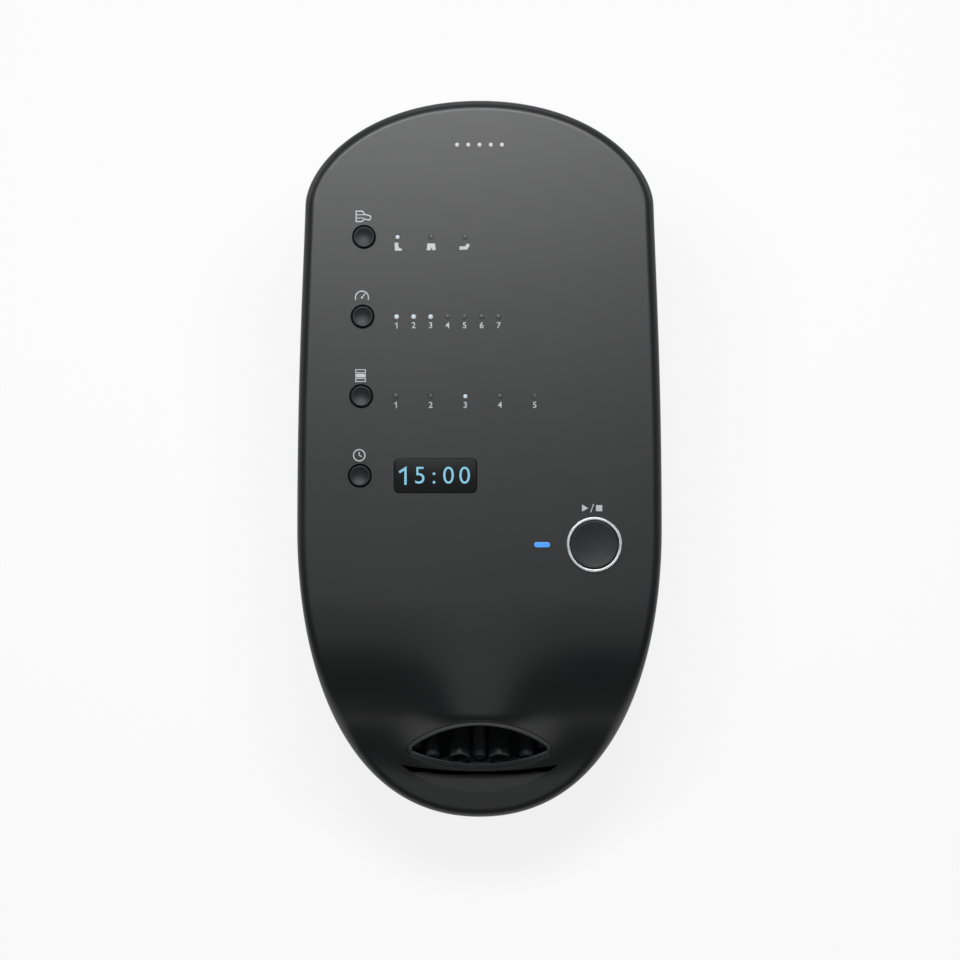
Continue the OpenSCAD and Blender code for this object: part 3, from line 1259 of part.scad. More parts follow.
top_cover();
bottom_housing();
display_window();
display_module();
start_ring();
light_guides();
status_light_guide();
panel_board();
indicator_leds();
tact_switches();
panel_board_screws();
attachment_button();
pressure_button();
zone_button();
time_button();
start_button();
attachment_plunger();
pressure_plunger();
zone_plunger();
time_plunger();
start_plunger();
air_socket();
nozzle_plate();
nozzle_gasket();
socket_screws();
air_tubes();
valve_manifold();
zone_valves();
pump_motor();
motor_armature();
pump_eccentric();
pump_crankcase();
diaphragm_rods();
pump_diaphragms();
pump_heads();
pump_head_screws();
pump_bracket();
pump_mounts();
main_board();
board_spacers();
board_header();
board_components();
pressure_sensor();
sensor_tube();
buzzer();
battery_cells();
battery_tabs();
battery_cradle();
battery_strap();
battery_lead();
rear_panel();
power_inlet();
inlet_pin();
power_lead();
rocker_switch();
power_rocker();
filter_cover();
intake_filter();
rubber_feet();
housing_screws();
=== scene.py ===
# %% [markdown]
# # A compression therapy pump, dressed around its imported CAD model
# The pump stands on a table and blows up leg wraps through a hose that plugs into its nose. The CAD
# model gives every size and every moving part. This notebook gives the same pieces their looks: a
# satin dark shell, dished buttons, glowing lights, a clock, and finishes for all that is inside.

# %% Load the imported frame
import json
from math import atan2, cos, pi, radians, sin, sqrt, tan

import bpy
import numpy as np
from mathutils import Matrix, Vector

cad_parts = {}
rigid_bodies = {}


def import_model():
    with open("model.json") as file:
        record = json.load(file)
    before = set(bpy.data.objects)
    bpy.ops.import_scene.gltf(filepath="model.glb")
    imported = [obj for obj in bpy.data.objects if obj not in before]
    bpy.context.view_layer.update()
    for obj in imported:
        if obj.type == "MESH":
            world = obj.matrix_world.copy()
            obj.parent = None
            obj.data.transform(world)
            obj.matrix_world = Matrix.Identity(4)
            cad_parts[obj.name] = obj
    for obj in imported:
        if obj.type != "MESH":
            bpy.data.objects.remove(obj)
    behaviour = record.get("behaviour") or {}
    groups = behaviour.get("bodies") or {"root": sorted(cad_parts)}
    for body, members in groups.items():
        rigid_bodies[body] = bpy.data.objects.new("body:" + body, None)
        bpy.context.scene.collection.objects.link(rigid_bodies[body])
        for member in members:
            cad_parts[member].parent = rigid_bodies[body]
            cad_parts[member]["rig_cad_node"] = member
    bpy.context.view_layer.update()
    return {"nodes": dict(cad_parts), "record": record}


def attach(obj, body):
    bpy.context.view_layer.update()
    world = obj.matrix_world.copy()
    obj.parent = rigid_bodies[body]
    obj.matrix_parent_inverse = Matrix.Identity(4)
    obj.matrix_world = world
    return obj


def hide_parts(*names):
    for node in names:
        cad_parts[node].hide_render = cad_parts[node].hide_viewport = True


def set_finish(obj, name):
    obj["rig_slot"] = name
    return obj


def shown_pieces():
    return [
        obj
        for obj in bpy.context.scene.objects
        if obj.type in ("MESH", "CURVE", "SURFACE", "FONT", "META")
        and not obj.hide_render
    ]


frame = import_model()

bpy.ops.object.select_all(action="DESELECT")
MM = 0.001
nodes = frame["nodes"]
print("CAD nodes:", len(nodes))

# %% [markdown]
# ## The panel's own frame
# The top face slopes 12 degrees down towards the hose end. Everything on it is easier to place in a
# flat frame that lies in the panel: u runs across, v runs up the panel and w stands out of it. A piece
# is modelled there in millimetres and turned into the body's frame at the end, in its mesh, so its
# object stays at the origin as a CAD node's does.

# %% Turn panel millimetres into body metres
PANEL_L, PANEL_W, TILT = 220.0, 111.8, 12.0
HALF_L, HALF_W = PANEL_L / 2, PANEL_W / 2
BODY_H, RIM_R, SKIRT_H, DRAFT = 101.6, 3.0, 6.5, 0.25
COVER_WALL, PARTING, TOE_DROP = 2.4, 0.3, 22.0
st, ct = sin(radians(TILT)), cos(radians(TILT))
PANEL_Z = BODY_H - (HALF_L - RIM_R) * st - RIM_R * (1 - ct)
HEAD_Y = (HALF_L - DRAFT) * ct + (RIM_R + SKIRT_H + PARTING) * st
TOE_Y = -(HALF_L - RIM_R) * ct + (TOE_DROP + RIM_R) * st - RIM_R
PANEL_Y = -(HEAD_Y + TOE_Y) / 2
panel_turn = Matrix.Translation((0, PANEL_Y * MM, PANEL_Z * MM)) @ Matrix.Rotation(radians(TILT), 4, "X")
print("panel centre, mm:", round(PANEL_Y, 2), round(PANEL_Z, 2))

# %% [markdown]
# ## Small helpers for working by hand
# Operators act on whatever is selected, so one helper makes a single piece active. Others open edit
# mode, pick faces by place, apply a modifier and cut one piece with another.

# %% Selection, edit mode and modifiers
def only(piece):
    bpy.ops.object.select_all(action="DESELECT")
    piece.select_set(True)
    bpy.context.view_layer.objects.active = piece
    return piece


def new_piece(name, points, edges=(), faces=()):
    mesh = bpy.data.meshes.new(name)
    mesh.from_pydata([[c * MM for c in p] for p in points], list(edges), list(faces))
    piece = bpy.data.objects.new(name, mesh)
    bpy.context.collection.objects.link(piece)
    return only(piece)


def in_edit(piece, work, pick=None, kind="FACE"):
    """Opens edit mode on the picked faces or edges, does the work and comes back."""
    only(piece)
    bpy.ops.object.mode_set(mode="EDIT")
    bpy.ops.mesh.select_mode(type=kind)
    bpy.ops.mesh.select_all(action="SELECT" if pick is None else "DESELECT")
    bpy.ops.object.mode_set(mode="OBJECT")
    if pick is not None:
        for item in piece.data.polygons if kind == "FACE" else piece.data.edges:
            item.select = pick(item)
    bpy.ops.object.mode_set(mode="EDIT")
    work()
    bpy.ops.object.mode_set(mode="OBJECT")
    return piece


def tidy(piece):
    """Merges doubles and turns every face outwards."""
    def work():
        bpy.ops.mesh.remove_doubles(threshold=1e-6)
        bpy.ops.mesh.normals_make_consistent(inside=False)
    return in_edit(piece, work)


def finish_with(piece, kind, **settings):
    only(piece)
    modifier = piece.modifiers.new(kind.title(), kind)
    for key, value in settings.items():
        setattr(modifier, key, value)
    bpy.ops.object.modifier_apply(modifier=modifier.name)
    return piece


def round_edges(piece, width, segments, degrees):
    return finish_with(piece, "BEVEL", width=width * MM, segments=segments, limit_method="ANGLE",
                       angle_limit=radians(degrees))


def cut(piece, tool, operation="DIFFERENCE"):
    finish_with(piece, "BOOLEAN", object=tool, operation=operation, solver="EXACT")
    bpy.data.objects.remove(tool)
    return piece


def shade(piece, degrees=30):
    only(piece)
    bpy.ops.object.shade_smooth_by_angle(angle=radians(degrees))
    return piece


def put(piece, matrix):
    piece.data.transform(matrix)
    piece.data.update()
    return piece


def bake_place(piece):
    only(piece)
    bpy.ops.object.transform_apply(location=True, rotation=True, scale=True)
    return piece


def joined(name, pieces):
    bpy.ops.object.select_all(action="DESELECT")
    for piece in pieces:
        piece.select_set(True)
    bpy.context.view_layer.objects.active = pieces[0]
    if len(pieces) > 1:
        bpy.ops.object.join()
    whole = bpy.context.view_layer.objects.active
    whole.name = name
    whole.data.name = name
    return whole


# %% [markdown]
# ## Turned shapes
# Buttons, the bright ring, light dots, nozzles and feet are all round. Each starts as a half profile
# whose corners are softened with a small arc, and the Spin operator turns it round its axis. Small
# arcs at every edge matter: they are what catches the light on a real moulded piece.

# %% Soften a profile and spin it
NEARLY_FOLDED, NEARLY_STRAIGHT, SIDE_SHARE = 0.05, 1.45, 0.45


def soften(profile, r, n=4, keep=()):
    """Replaces every inner corner by a small arc of radius r, except those listed in keep."""
    out = [profile[0]]
    for i in range(1, len(profile) - 1):
        a, b, c = (np.array(profile[j], float) for j in (i - 1, i, i + 1))
        da, dc = a - b, c - b
        la, lc = np.linalg.norm(da), np.linalg.norm(dc)
        da, dc = da / la, dc / lc
        half = 0.5 * np.arccos(np.clip(da @ dc, -1, 1))
        if i in keep or half > NEARLY_STRAIGHT or half < NEARLY_FOLDED:
            out.append(tuple(b))
            continue
        back = min(r / tan(half), SIDE_SHARE * la, SIDE_SHARE * lc)
        start, end = b + back * da, b + back * dc
        for t in np.linspace(0, 1, n + 1):
            out.append(tuple((1 - t) ** 2 * start + 2 * t * (1 - t) * b + t * t * end))
    out.append(profile[-1])
    return out


def turned(name, profile, steps=96, degrees=30):
    links = [(i, i + 1) for i in range(len(profile) - 1)]
    piece = new_piece(name, [(r, 0, h) for r, h in profile], links)
    in_edit(piece, lambda: bpy.ops.mesh.spin(steps=steps, angle=2 * pi, center=(0, 0, 0), axis=(0, 0, 1)),
            kind="EDGE", pick=lambda e: True)
    return shade(tidy(piece), degrees)


# %% [markdown]
# ## The outline
# Seen straight on, the panel is a long rounded shape, widest a little below its middle. Three curves
# that join smoothly make the right half, and the left half mirrors it. Each point comes with the
# outward direction there, so that the same outline can be drawn in for walls and rounded edges.

# %% Three curves and their outward directions
SHOULDER, WAIST = np.array([0.955, 0.708]), np.array([1, -0.197])
LEAN = np.array([0.06, -1.0])
CURVES = [[np.array([0, 1.0]), np.array([0.626, 1.0]), SHOULDER - 0.112 * LEAN, SHOULDER],
          [SHOULDER, SHOULDER + 0.183 * LEAN, WAIST + [0, 0.435], WAIST],
          [WAIST, WAIST - [0, 0.334], np.array([0.79, -1.0]), np.array([0, -1.0])]]
CURVE_STEPS = [56, 46, 66]


def outline_points():
    half = []
    for c, n in zip(CURVES, CURVE_STEPS):
        for t in np.arange(n) / n:
            s = 1 - t
            p = c[0] * s ** 3 + 3 * c[1] * t * s ** 2 + 3 * c[2] * t * t * s + c[3] * t ** 3
            d = (c[1] - c[0]) * s ** 2 + 2 * (c[2] - c[1]) * t * s + (c[3] - c[2]) * t * t
            d = d * [HALF_W, HALF_L]
            half.append((p * [HALF_W, HALF_L], np.array([-d[1], d[0]]) / np.linalg.norm(d)))
    toe = (np.array([0, -HALF_L]), np.array([0, -1.0]))
    flip = np.array([-1, 1])
    return half + [toe] + [(p * flip, n * flip) for p, n in half[:0:-1]]


outline = outline_points()
RIM_P = np.array([p for p, n in outline])
RIM_N = np.array([n for p, n in outline])
N = len(outline)
RING_CENTRE = np.array([0, 0.136 * HALF_L])
print("outline points:", N)

# %% [markdown]
# ## The panel's surface
# The panel is flat except at the nose, where it falls 22 mm to the toe. The cheeks steepen slowly over
# a long way and level out at the toe. The middle stays up as a bridge that slopes only slightly until
# it reaches the hose socket, and a bell curve blends the two. No bend is tight, because the eye sees a
# tight bend in a sheen as a line. The same function gives the exact surface direction, used later for
# shading.

# %% Height of the panel's surface
NOSE_START, STEEPEN, LEVEL_OUT, GROWTH = 67.5, 37.5, 19.0, 2.3
BRIDGE_START, BRIDGE_FALL, BRIDGE_DIP, BRIDGE_HALF = 32.5, 22.0, 1.2, 20.5


def ease(x):
    t = np.clip(x, 0, 1)
    return t * t * (3 - 2 * t)


def height(u, v):
    """How far the surface stands over the flat panel; at the nose it is below it."""
    along = np.clip(NOSE_START - HALF_L - v, 0, STEEPEN + LEVEL_OUT)
    rate = TOE_DROP / (STEEPEN + GROWTH * LEVEL_OUT / 2)
    steepening = rate * STEEPEN * (along / STEEPEN) ** GROWTH
    levelling = TOE_DROP - rate * GROWTH * (STEEPEN + LEVEL_OUT - along) ** 2 / (2 * LEVEL_OUT)
    cheek = np.where(along < STEEPEN, steepening, levelling)
    slip = BRIDGE_DIP * ease(along / (STEEPEN + LEVEL_OUT))
    bridge = slip + (TOE_DROP - slip) * ease((BRIDGE_START - HALF_L - v) / BRIDGE_FALL)
    return np.exp(-np.abs(u / BRIDGE_HALF) ** 3) * (cheek - bridge) - cheek


def slope(u, v, e=0.02):
    return (height(u + e, v) - height(u - e, v)) / (2 * e), (height(u, v + e) - height(u, v - e)) / (2 * e)


def below(q, depth):
    du, dv = slope(q[:, 0], q[:, 1])
    return height(q[:, 0], q[:, 1]) - depth * np.sqrt(1 + du * du + dv * dv)


def up_from(q):
    """The surface's outward direction at points q, in the panel's frame."""
    du, dv = slope(q[:, 0], q[:, 1])
    n = np.stack([-du, -dv, np.ones(len(q))], 1)
    return n / np.linalg.norm(n, axis=1)[:, None]


# %% [markdown]
# ## The top cover
# The real cover is one thin moulded shell with a small round edge all the way round. It is built from
# rings: rings on the panel, rings round the edge, a side that draws in slightly, a rebate for the
# housing's tongue, and the same again inside. An operator can't follow these curves, so the rings are
# computed and then skinned.

# %% Skin a shell through rings
def inset(d):
    return RIM_P - d * RIM_N


def ring_at(depth, d, f):
    q = RING_CENTRE + f * (inset(d) - RING_CENTRE)
    return np.column_stack([q, below(q, depth)])


def round_ring(depth, d, r, a):
    q = inset(d + r * (1 - sin(a)))
    return np.column_stack([q, below(q, depth) - r * (1 - cos(a))])


def side_ring(d, up):
    return np.column_stack([inset(d), height(RIM_P[:, 0], RIM_P[:, 1]) - RIM_R - SKIRT_H + up])


def strip_faces(rings, n):
    """Faces between closed rings of n points each."""
    return [[j * n + k, j * n + (k + 1) % n, (j + 1) * n + (k + 1) % n, (j + 1) * n + k]
            for j in range(rings - 1) for k in range(n)]


def skinned(name, rings):
    first, last = list(range(N))[::-1], [(len(rings) - 1) * N + k for k in range(N)]
    faces = [first] + strip_faces(len(rings), N) + [last]
    return new_piece(name, np.concatenate(rings), faces=faces)


# The smallest ring, 0.4 of the outline, still lies wholly on the flat part of the panel.
FRACTIONS = np.linspace(0.4, 0.985, 60)
INNER_FRACTIONS = np.linspace(0.4, 0.97, 20)
LIP_H, LIP_IN, INNER_R = 2.6, COVER_WALL / 2 - 0.05, 0.8
BREAK_IN, BREAK_H = 0.3, 0.12
cover = skinned("cover", [ring_at(0, RIM_R, f) for f in FRACTIONS]
    + [round_ring(0, 0, RIM_R, a) for a in np.linspace(0, pi / 2, 11)]
    + [side_ring(DRAFT * t, (1 - t) * SKIRT_H) for t in (0.25, 0.5, 0.75, 0.97, 1)]
    + [side_ring(DRAFT + BREAK_IN, -BREAK_H), side_ring(DRAFT + LIP_IN, -BREAK_H),
       side_ring(DRAFT + LIP_IN, LIP_H), side_ring(COVER_WALL + DRAFT, LIP_H)]
    + [round_ring(COVER_WALL, COVER_WALL, INNER_R, a) for a in np.linspace(pi / 2, 0, 4)]
    + [ring_at(COVER_WALL, COVER_WALL + INNER_R, f) for f in INNER_FRACTIONS[::-1]])
tidy(cover)
print("cover faces:", len(cover.data.polygons))

# %% [markdown]
# ## Openings in the cover
# Every button, light and window has its own hole, and each hole has a fine broken edge, because no
# mould leaves a razor edge. One cutter per hole flares out at the top, and all of them are joined into
# one tool for a single cut.

# %% Cut the button, ring, light and window holes
KEYS = [(-35.4 - 0.42 * i, 68.2 - 24.4 * i) for i in range(4)]
START = (35.2, -26.1)
KEY_R, START_R, KEY_GAP = 3.25, 7.2, 0.3
RING_IN = START_R + KEY_GAP
START_HOLE = RING_IN + 0.6
WINDOW_W, WINDOW_H, WINDOW_R = 25.4, 10.5, 1.5
WINDOW = (-13.5, KEYS[3][1])
STATUS_L, STATUS_R, STATUS = 4.9, 0.8, (19.2, START[1])
BATTERY_DOT_R, DOT_R, DOT_BREAK, DOT_STEPS = 0.65, 0.8, 0.06, 24
BATTERY = [(3.44 * i, 96.5) for i in range(-2, 3)]
ATTACHMENT = [(-25.1 + 10.3 * i, KEYS[0][1]) for i in range(3)]
PRESSURE = [(-25.4 + 5.21 * i, KEYS[1][1]) for i in range(7)]
ZONE = [(-25.6 + 10.63 * i, KEYS[2][1]) for i in range(5)]


def hole_tool(u, v, r, broken=0.18, steps=64):
    tool = turned("hole_tool", [(0, -6), (r, -6), (r, -broken), (r + broken + 0.5, 0.5), (0, 0.5)], steps)
    return put(tool, Matrix.Translation((u * MM, v * MM, 0)))


def rounded_plate(name, w, h, r, z0, z1, arc=8):
    """A plate with round corners: a plane whose four corners are bevelled, then pushed out."""
    bpy.ops.mesh.primitive_plane_add(size=1, location=(0, 0, z0 * MM))
    piece = bpy.context.active_object
    piece.name = name
    piece.dimensions = (w * MM, h * MM, 0)
    bake_place(piece)

    def work():
        bpy.ops.mesh.bevel(offset=r * MM, segments=arc, affect="VERTICES")
        bpy.ops.mesh.extrude_region_move(TRANSFORM_OT_translate={"value": (0, 0, (z1 - z0) * MM)})
        bpy.ops.mesh.select_all(action="SELECT")
        bpy.ops.mesh.normals_make_consistent(inside=False)
    return in_edit(piece, work)


def at(piece, u, v, w=0):
    return put(piece, Matrix.Translation((u * MM, v * MM, w * MM)))


tools = [hole_tool(u, v, KEY_R + KEY_GAP) for u, v in KEYS] + [hole_tool(*START, START_HOLE, 0.05)]
tools += [hole_tool(u, v, BATTERY_DOT_R, DOT_BREAK, DOT_STEPS) for u, v in BATTERY]
tools += [hole_tool(u, v, DOT_R, DOT_BREAK, DOT_STEPS) for u, v in ATTACHMENT + PRESSURE + ZONE]
window_hole = rounded_plate("window_hole", WINDOW_W + 0.2, WINDOW_H + 0.2, WINDOW_R + 0.1, -6, 1)
status_hole = rounded_plate("status_hole", STATUS_L + 0.1, 2 * STATUS_R + 0.1, STATUS_R + 0.04, -6, 1)
tools += [at(window_hole, *WINDOW), at(status_hole, *STATUS)]
cut(cover, joined("hole_tools", tools))
print("cover faces with holes:", len(cover.data.polygons))

# %% [markdown]
# ## The mouth of the hose socket
# The mouth is a lens between two arcs with round ends, and its edge follows the falling surface. The
# Boolean cut is made a little wider than the real opening, and a strip closes the difference: it
# leaves the surface smoothly, rolls over a small radius and runs down as the wall of the mouth. Below
# it a crescent is sunk into the toe, as a grip for the finger that pulls the hose plug.

# %% Cut the mouth and the crescent
MOUTH_V, MOUTH_RISE, MOUTH_SAG, MOUTH_END = -HALF_L + 20.4, 9.5, 5.4, 2.3
MOUTH_ARC = 22.6 + 0.7 * MOUTH_END
TOP_R = (MOUTH_ARC ** 2 + MOUTH_RISE ** 2) / (2 * MOUTH_RISE)
LOW_R = (MOUTH_ARC ** 2 + MOUTH_SAG ** 2) / (2 * MOUTH_SAG)
TOP_C, LOW_C = MOUTH_V + MOUTH_RISE - TOP_R, MOUTH_V - MOUTH_SAG + LOW_R
TOP_REACH, LOW_REACH = (TOP_R - MOUTH_END) ** 2, (LOW_R - MOUTH_END) ** 2
END_V = (TOP_REACH - LOW_REACH - TOP_C ** 2 + LOW_C ** 2) / (2 * (LOW_C - TOP_C))
END_U = sqrt(TOP_REACH - (END_V - TOP_C) ** 2)


def lens(d, n=40, m=14):
    """The mouth's outline drawn in by d, anticlockwise from its right end's lower side."""
    def round_part(u, v, r, angles):
        return [(u + (r - d) * cos(a), v + (r - d) * sin(a)) for a in angles]

    top = atan2(END_V - TOP_C, END_U)
    low = atan2(END_V - LOW_C, END_U)
    right = round_part(END_U, END_V, MOUTH_END, np.linspace(low, top, m))
    upper = round_part(0, TOP_C, TOP_R, np.linspace(top, pi - top, n)[1:-1])
    left = [(-u, v) for u, v in right[::-1]]
    lower = round_part(0, LOW_C, LOW_R, np.linspace(-pi - low, low, n)[1:-1])
    return np.array(right + upper + left + lower)


def prism(name, ring, z0, z1):
    n = len(ring)
    points = [(u, v, z0) for u, v in ring] + [(u, v, z1) for u, v in ring]
    faces = [list(range(n))[::-1], list(range(n, 2 * n))] + strip_faces(2, n)
    return tidy(new_piece(name, points, faces=faces))


EDGE_R = 0.5
cut(cover, prism("mouth_tool", lens(-EDGE_R), -40, 5))
RELIEF_W, RELIEF_SAG, RELIEF_TOP, RELIEF_V = 24.1, 8.6, 2.0, MOUTH_V - 4.3
RELIEF_D, RELIEF_SLOPE = 1.9, 3.0


def arc(w, sag, n):
    r = (w * w + sag * sag) / (2 * sag)
    a = np.arcsin(w / r)
    return [(r * sin(t), RELIEF_V - sag + r - r * cos(t)) for t in np.linspace(-a, a, n)]


crescent = arc(RELIEF_W, RELIEF_SAG, 60) + arc(RELIEF_W, RELIEF_TOP, 40)[-2:0:-1]
sunk = prism("crescent_tool", crescent, -TOE_DROP - 4, -TOE_DROP + 5)
in_edit(sunk, lambda: bpy.ops.mesh.bisect(
    plane_co=(0, RELIEF_V * MM, (-TOE_DROP - RELIEF_D) * MM),
    plane_no=(0, sin(radians(RELIEF_SLOPE)), cos(radians(RELIEF_SLOPE))), use_fill=True, clear_inner=True))
cut(cover, tidy(sunk))
print("mouth and crescent cut, faces:", len(cover.data.polygons))

# %% The strip round the mouth
def edge_strip(name, d0, depth):
    """Rolls from the panel's surface, d0 outside the mouth, over and down into its wall."""
    rings = []
    base = lens(-d0)
    for a in np.linspace(0, pi / 2, 7):
        q = lens(-d0 + d0 * sin(a))
        h = height(base[:, 0], base[:, 1]) * (1 - sin(a)) + height(q[:, 0], q[:, 1]) * sin(a)
        rings.append(np.column_stack([q, h - d0 * (1 - cos(a))]))
    q = lens(0)
    rings.append(np.column_stack([q, height(q[:, 0], q[:, 1]) - depth]))
    strip = new_piece(name, np.concatenate(rings), faces=strip_faces(len(rings), len(q)))
    return shade(strip, 60)


mouth_edge = edge_strip("mouth_edge", EDGE_R, COVER_WALL * 1.3)
print("mouth edge faces:", len(mouth_edge.data.polygons))

# %% [markdown]
# ## Exact shading for the cover
# The holes leave long thin faces on the curved nose, and ordinary smooth shading would show them as
# dents in the reflections. The surface's direction is known from its formula, so it is written onto
# the mesh as custom normals wherever a face lies on the panel's surface.

# %% Write the surface's own direction onto the cover
cover = shade(joined("cover", [cover, mouth_edge]), 32)


def write_normals(piece, limit=0.9, near=0.03):
    """Gives corners on the surface, whose face looks its way, the surface's exact direction."""
    mesh = piece.data
    co = np.empty(len(mesh.vertices) * 3)
    mesh.vertices.foreach_get("co", co)
    co = co.reshape(-1, 3) / MM
    exact = up_from(co[:, :2])
    on_top = np.abs(co[:, 2] - height(co[:, 0], co[:, 1])) < near
    normals = np.array([c.vector[:] for c in mesh.corner_normals])
    changed = 0
    for face in mesh.polygons:
        facing = np.array(face.normal[:])
        for loop in face.loop_indices:
            v = mesh.loops[loop].vertex_index
            if on_top[v] and facing @ exact[v] > limit:
                normals[loop] = exact[v]
                changed += 1
    mesh.normals_split_custom_set([tuple(n) for n in normals])
    return changed


print("corners with exact normals:", write_normals(cover), "of", len(cover.data.loops))
put(cover, panel_turn)
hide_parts("top_cover")
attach(cover, "housing")
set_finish(cover, "cover_shell")

# %% [markdown]
# ## The bottom housing
# The tub below the cover is the deepest piece. Its wall leaves the parting line with the outline's
# shape and draws in towards a smaller underside with a large round edge. It is skinned from rings too,
# and then cut with the rear recess, the screw wells, the filter's seat and the seats of the feet.

# %% Rings of the housing
BASE_L, BASE_W, BASE_R, BASE_Y, DECK, FLOOR_T, TUB_WALL = 190.0, 97.0, 5.0, 1.0, 2.0, 2.6, 2.6
FLOOR_Z = DECK + FLOOR_T
TUB_CURVE, TONGUE_H, INNER_BASE_R = 1.6, 2.2, BASE_R - 2


def joint(d, up=0.0):
    q = inset(d)
    w = height(RIM_P[:, 0], RIM_P[:, 1]) - RIM_R - SKIRT_H - PARTING + up
    return np.column_stack([q[:, 0], PANEL_Y + q[:, 1] * ct - w * st, PANEL_Z + q[:, 1] * st + w * ct])


JOINT = joint(DRAFT)
BASE = RIM_P * [BASE_W / PANEL_W, BASE_L / PANEL_L] + [0, BASE_Y]


def wall(z, d):
    s = np.clip((JOINT[:, 2] - z) / (JOINT[:, 2] - DECK), 0, 1)[:, None] ** TUB_CURVE
    q = JOINT[:, :2] + (BASE - JOINT[:, :2]) * s - d * RIM_N
    return np.column_stack([q, z])


def level_ring(s, low, d):
    return wall(low + (JOINT[:, 2] - low) * (1 - s), d)


def foot_ring(low, d, r, a):
    z = np.full(N, low + r * (1 - cos(a)))
    return wall(z, d + r * (1 - sin(a)))


levels = np.linspace(0.06, 0.94, 16)
TONGUE_IN = DRAFT + LIP_IN + 0.3
inner_foot = [foot_ring(FLOOR_Z, TUB_WALL, INNER_BASE_R, a) for a in (0, pi / 4, pi / 2)]
housing = skinned("housing_shell", inner_foot
    + [level_ring(s, FLOOR_Z + INNER_BASE_R, TUB_WALL) for s in levels[::-3]]
    + [joint(DRAFT + TUB_WALL), joint(DRAFT + TUB_WALL, TONGUE_H), joint(TONGUE_IN, TONGUE_H),
       joint(TONGUE_IN), joint(DRAFT + 0.35), joint(DRAFT + 0.1, -0.1), joint(DRAFT, -0.35)]
    + [level_ring(s, DECK + BASE_R, 0) for s in levels]
    + [foot_ring(DECK, 0, BASE_R, a) for a in np.linspace(pi / 2, 0, 9)])
tidy(housing)
print("housing faces:", len(housing.data.polygons))

# %% [markdown]
# ## Recess, wells and seats
# The rear wall leans 6 degrees, so the recess is modelled flat in its own frame, with z standing out
# of the wall, and turned into place. Its frame is trimmed to the housing's round rear before it is
# joined on, so nothing of it stands out of the wall.

# %% Cut the rear recess and the underside
RECESS_W, RECESS_H, RECESS_D, RECESS_Z, REAR_LEAN, PLATE_T = 46.0, 24.0, 4.0, 56.0, 6.0, 2.5
REAR_R, REAR_IN = 90.0, 1.2
rear_top = JOINT[0]
rear_share = ((rear_top[2] - RECESS_Z) / (rear_top[2] - DECK)) ** TUB_CURVE
REAR_Y = rear_top[1] + (BASE[0][1] - rear_top[1]) * rear_share
rear_turn = (Matrix.Translation((0, REAR_Y * MM, RECESS_Z * MM)) @ Matrix.Rotation(pi, 4, "Z")
             @ Matrix.Rotation(radians(90 + REAR_LEAN), 4, "X"))


def block(name, w, h, z0, z1, u=0.0, v=0.0):
    bpy.ops.mesh.primitive_cube_add(size=1, location=(u * MM, v * MM, (z0 + z1) / 2 * MM))
    piece = bpy.context.active_object
    piece.name = name
    piece.dimensions = (w * MM, h * MM, (z1 - z0) * MM)
    return bake_place(piece)


def post(name, r, z0, z1, u=0.0, v=0.0, steps=48):
    bpy.ops.mesh.primitive_cylinder_add(vertices=steps, radius=r * MM, depth=(z1 - z0) * MM,
                                        location=(u * MM, v * MM, (z0 + z1) / 2 * MM))
    piece = bpy.context.active_object
    piece.name = name
    return bake_place(piece)


frame_block = put(block("recess_frame", RECESS_W + 4, RECESS_H + 4, -9, 3), rear_turn)
round_rear = post("round_rear", REAR_R, -30, 30, steps=180)
put(round_rear, Matrix.Translation((0, (REAR_Y - REAR_IN - REAR_R) * MM, RECESS_Z * MM))
    @ Matrix.Rotation(radians(-REAR_LEAN), 4, "X"))
cut(frame_block, round_rear, "INTERSECT")
cut(housing, frame_block, "UNION")
LEDGE = RECESS_D + PLATE_T
rear_tools = [put(rounded_plate("recess_tool", RECESS_W, RECESS_H, 1.6, -LEDGE, 8), rear_turn),
              put(block("recess_through", RECESS_W - 12, RECESS_H - 4, -10, -LEDGE + 0.2), rear_turn)]
for tool in rear_tools:
    cut(housing, tool)
FEET = [(s * x, y) for x, y in ((22, -76), (33, 64)) for s in (-1, 1)]
SCREWS = [(s * x, y) for x, y in ((27, -60), (28, 84)) for s in (-1, 1)]
FILTER_Y, FILTER_L, FILTER_W = 2.0, 30.0, 20.0
under = [post("foot_seat", 6.0, 0, DECK + 1, x, y) for x, y in FEET]
under += [post("screw_well", 2.75, 0, 36, x, y) for x, y in SCREWS]
under.append(block("filter_seat", FILTER_L + 4, FILTER_W + 4, 0, DECK + 1.2, 0, FILTER_Y))
cut(housing, joined("under_tools", under))
shade(housing, 32)
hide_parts("bottom_housing")
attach(housing, "housing")
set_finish(housing, "housing_shell")
print("housing faces, cut:", len(housing.data.polygons))

# %% [markdown]
# ## Buttons
# The caps are dished so that a fingertip finds them. A cap has a flat black margin, a fine raised rim
# and a shallow bowl inside it, and it slopes off at the outside, so the gap to the shell reads as one
# dark ring. The small caps and the start cap are the same profile in two sizes, spun round. Each rides
# on its own moving body.

# %% Spin the caps
CAP_TOP, FLANGE_TOP, FLANGE_W, STEM_R = 0.5, -COVER_WALL - 0.3, 1.35, 1.4
FLANGE_LOW, STEM_LOW = FLANGE_TOP - 1.1, FLANGE_TOP - 1.3


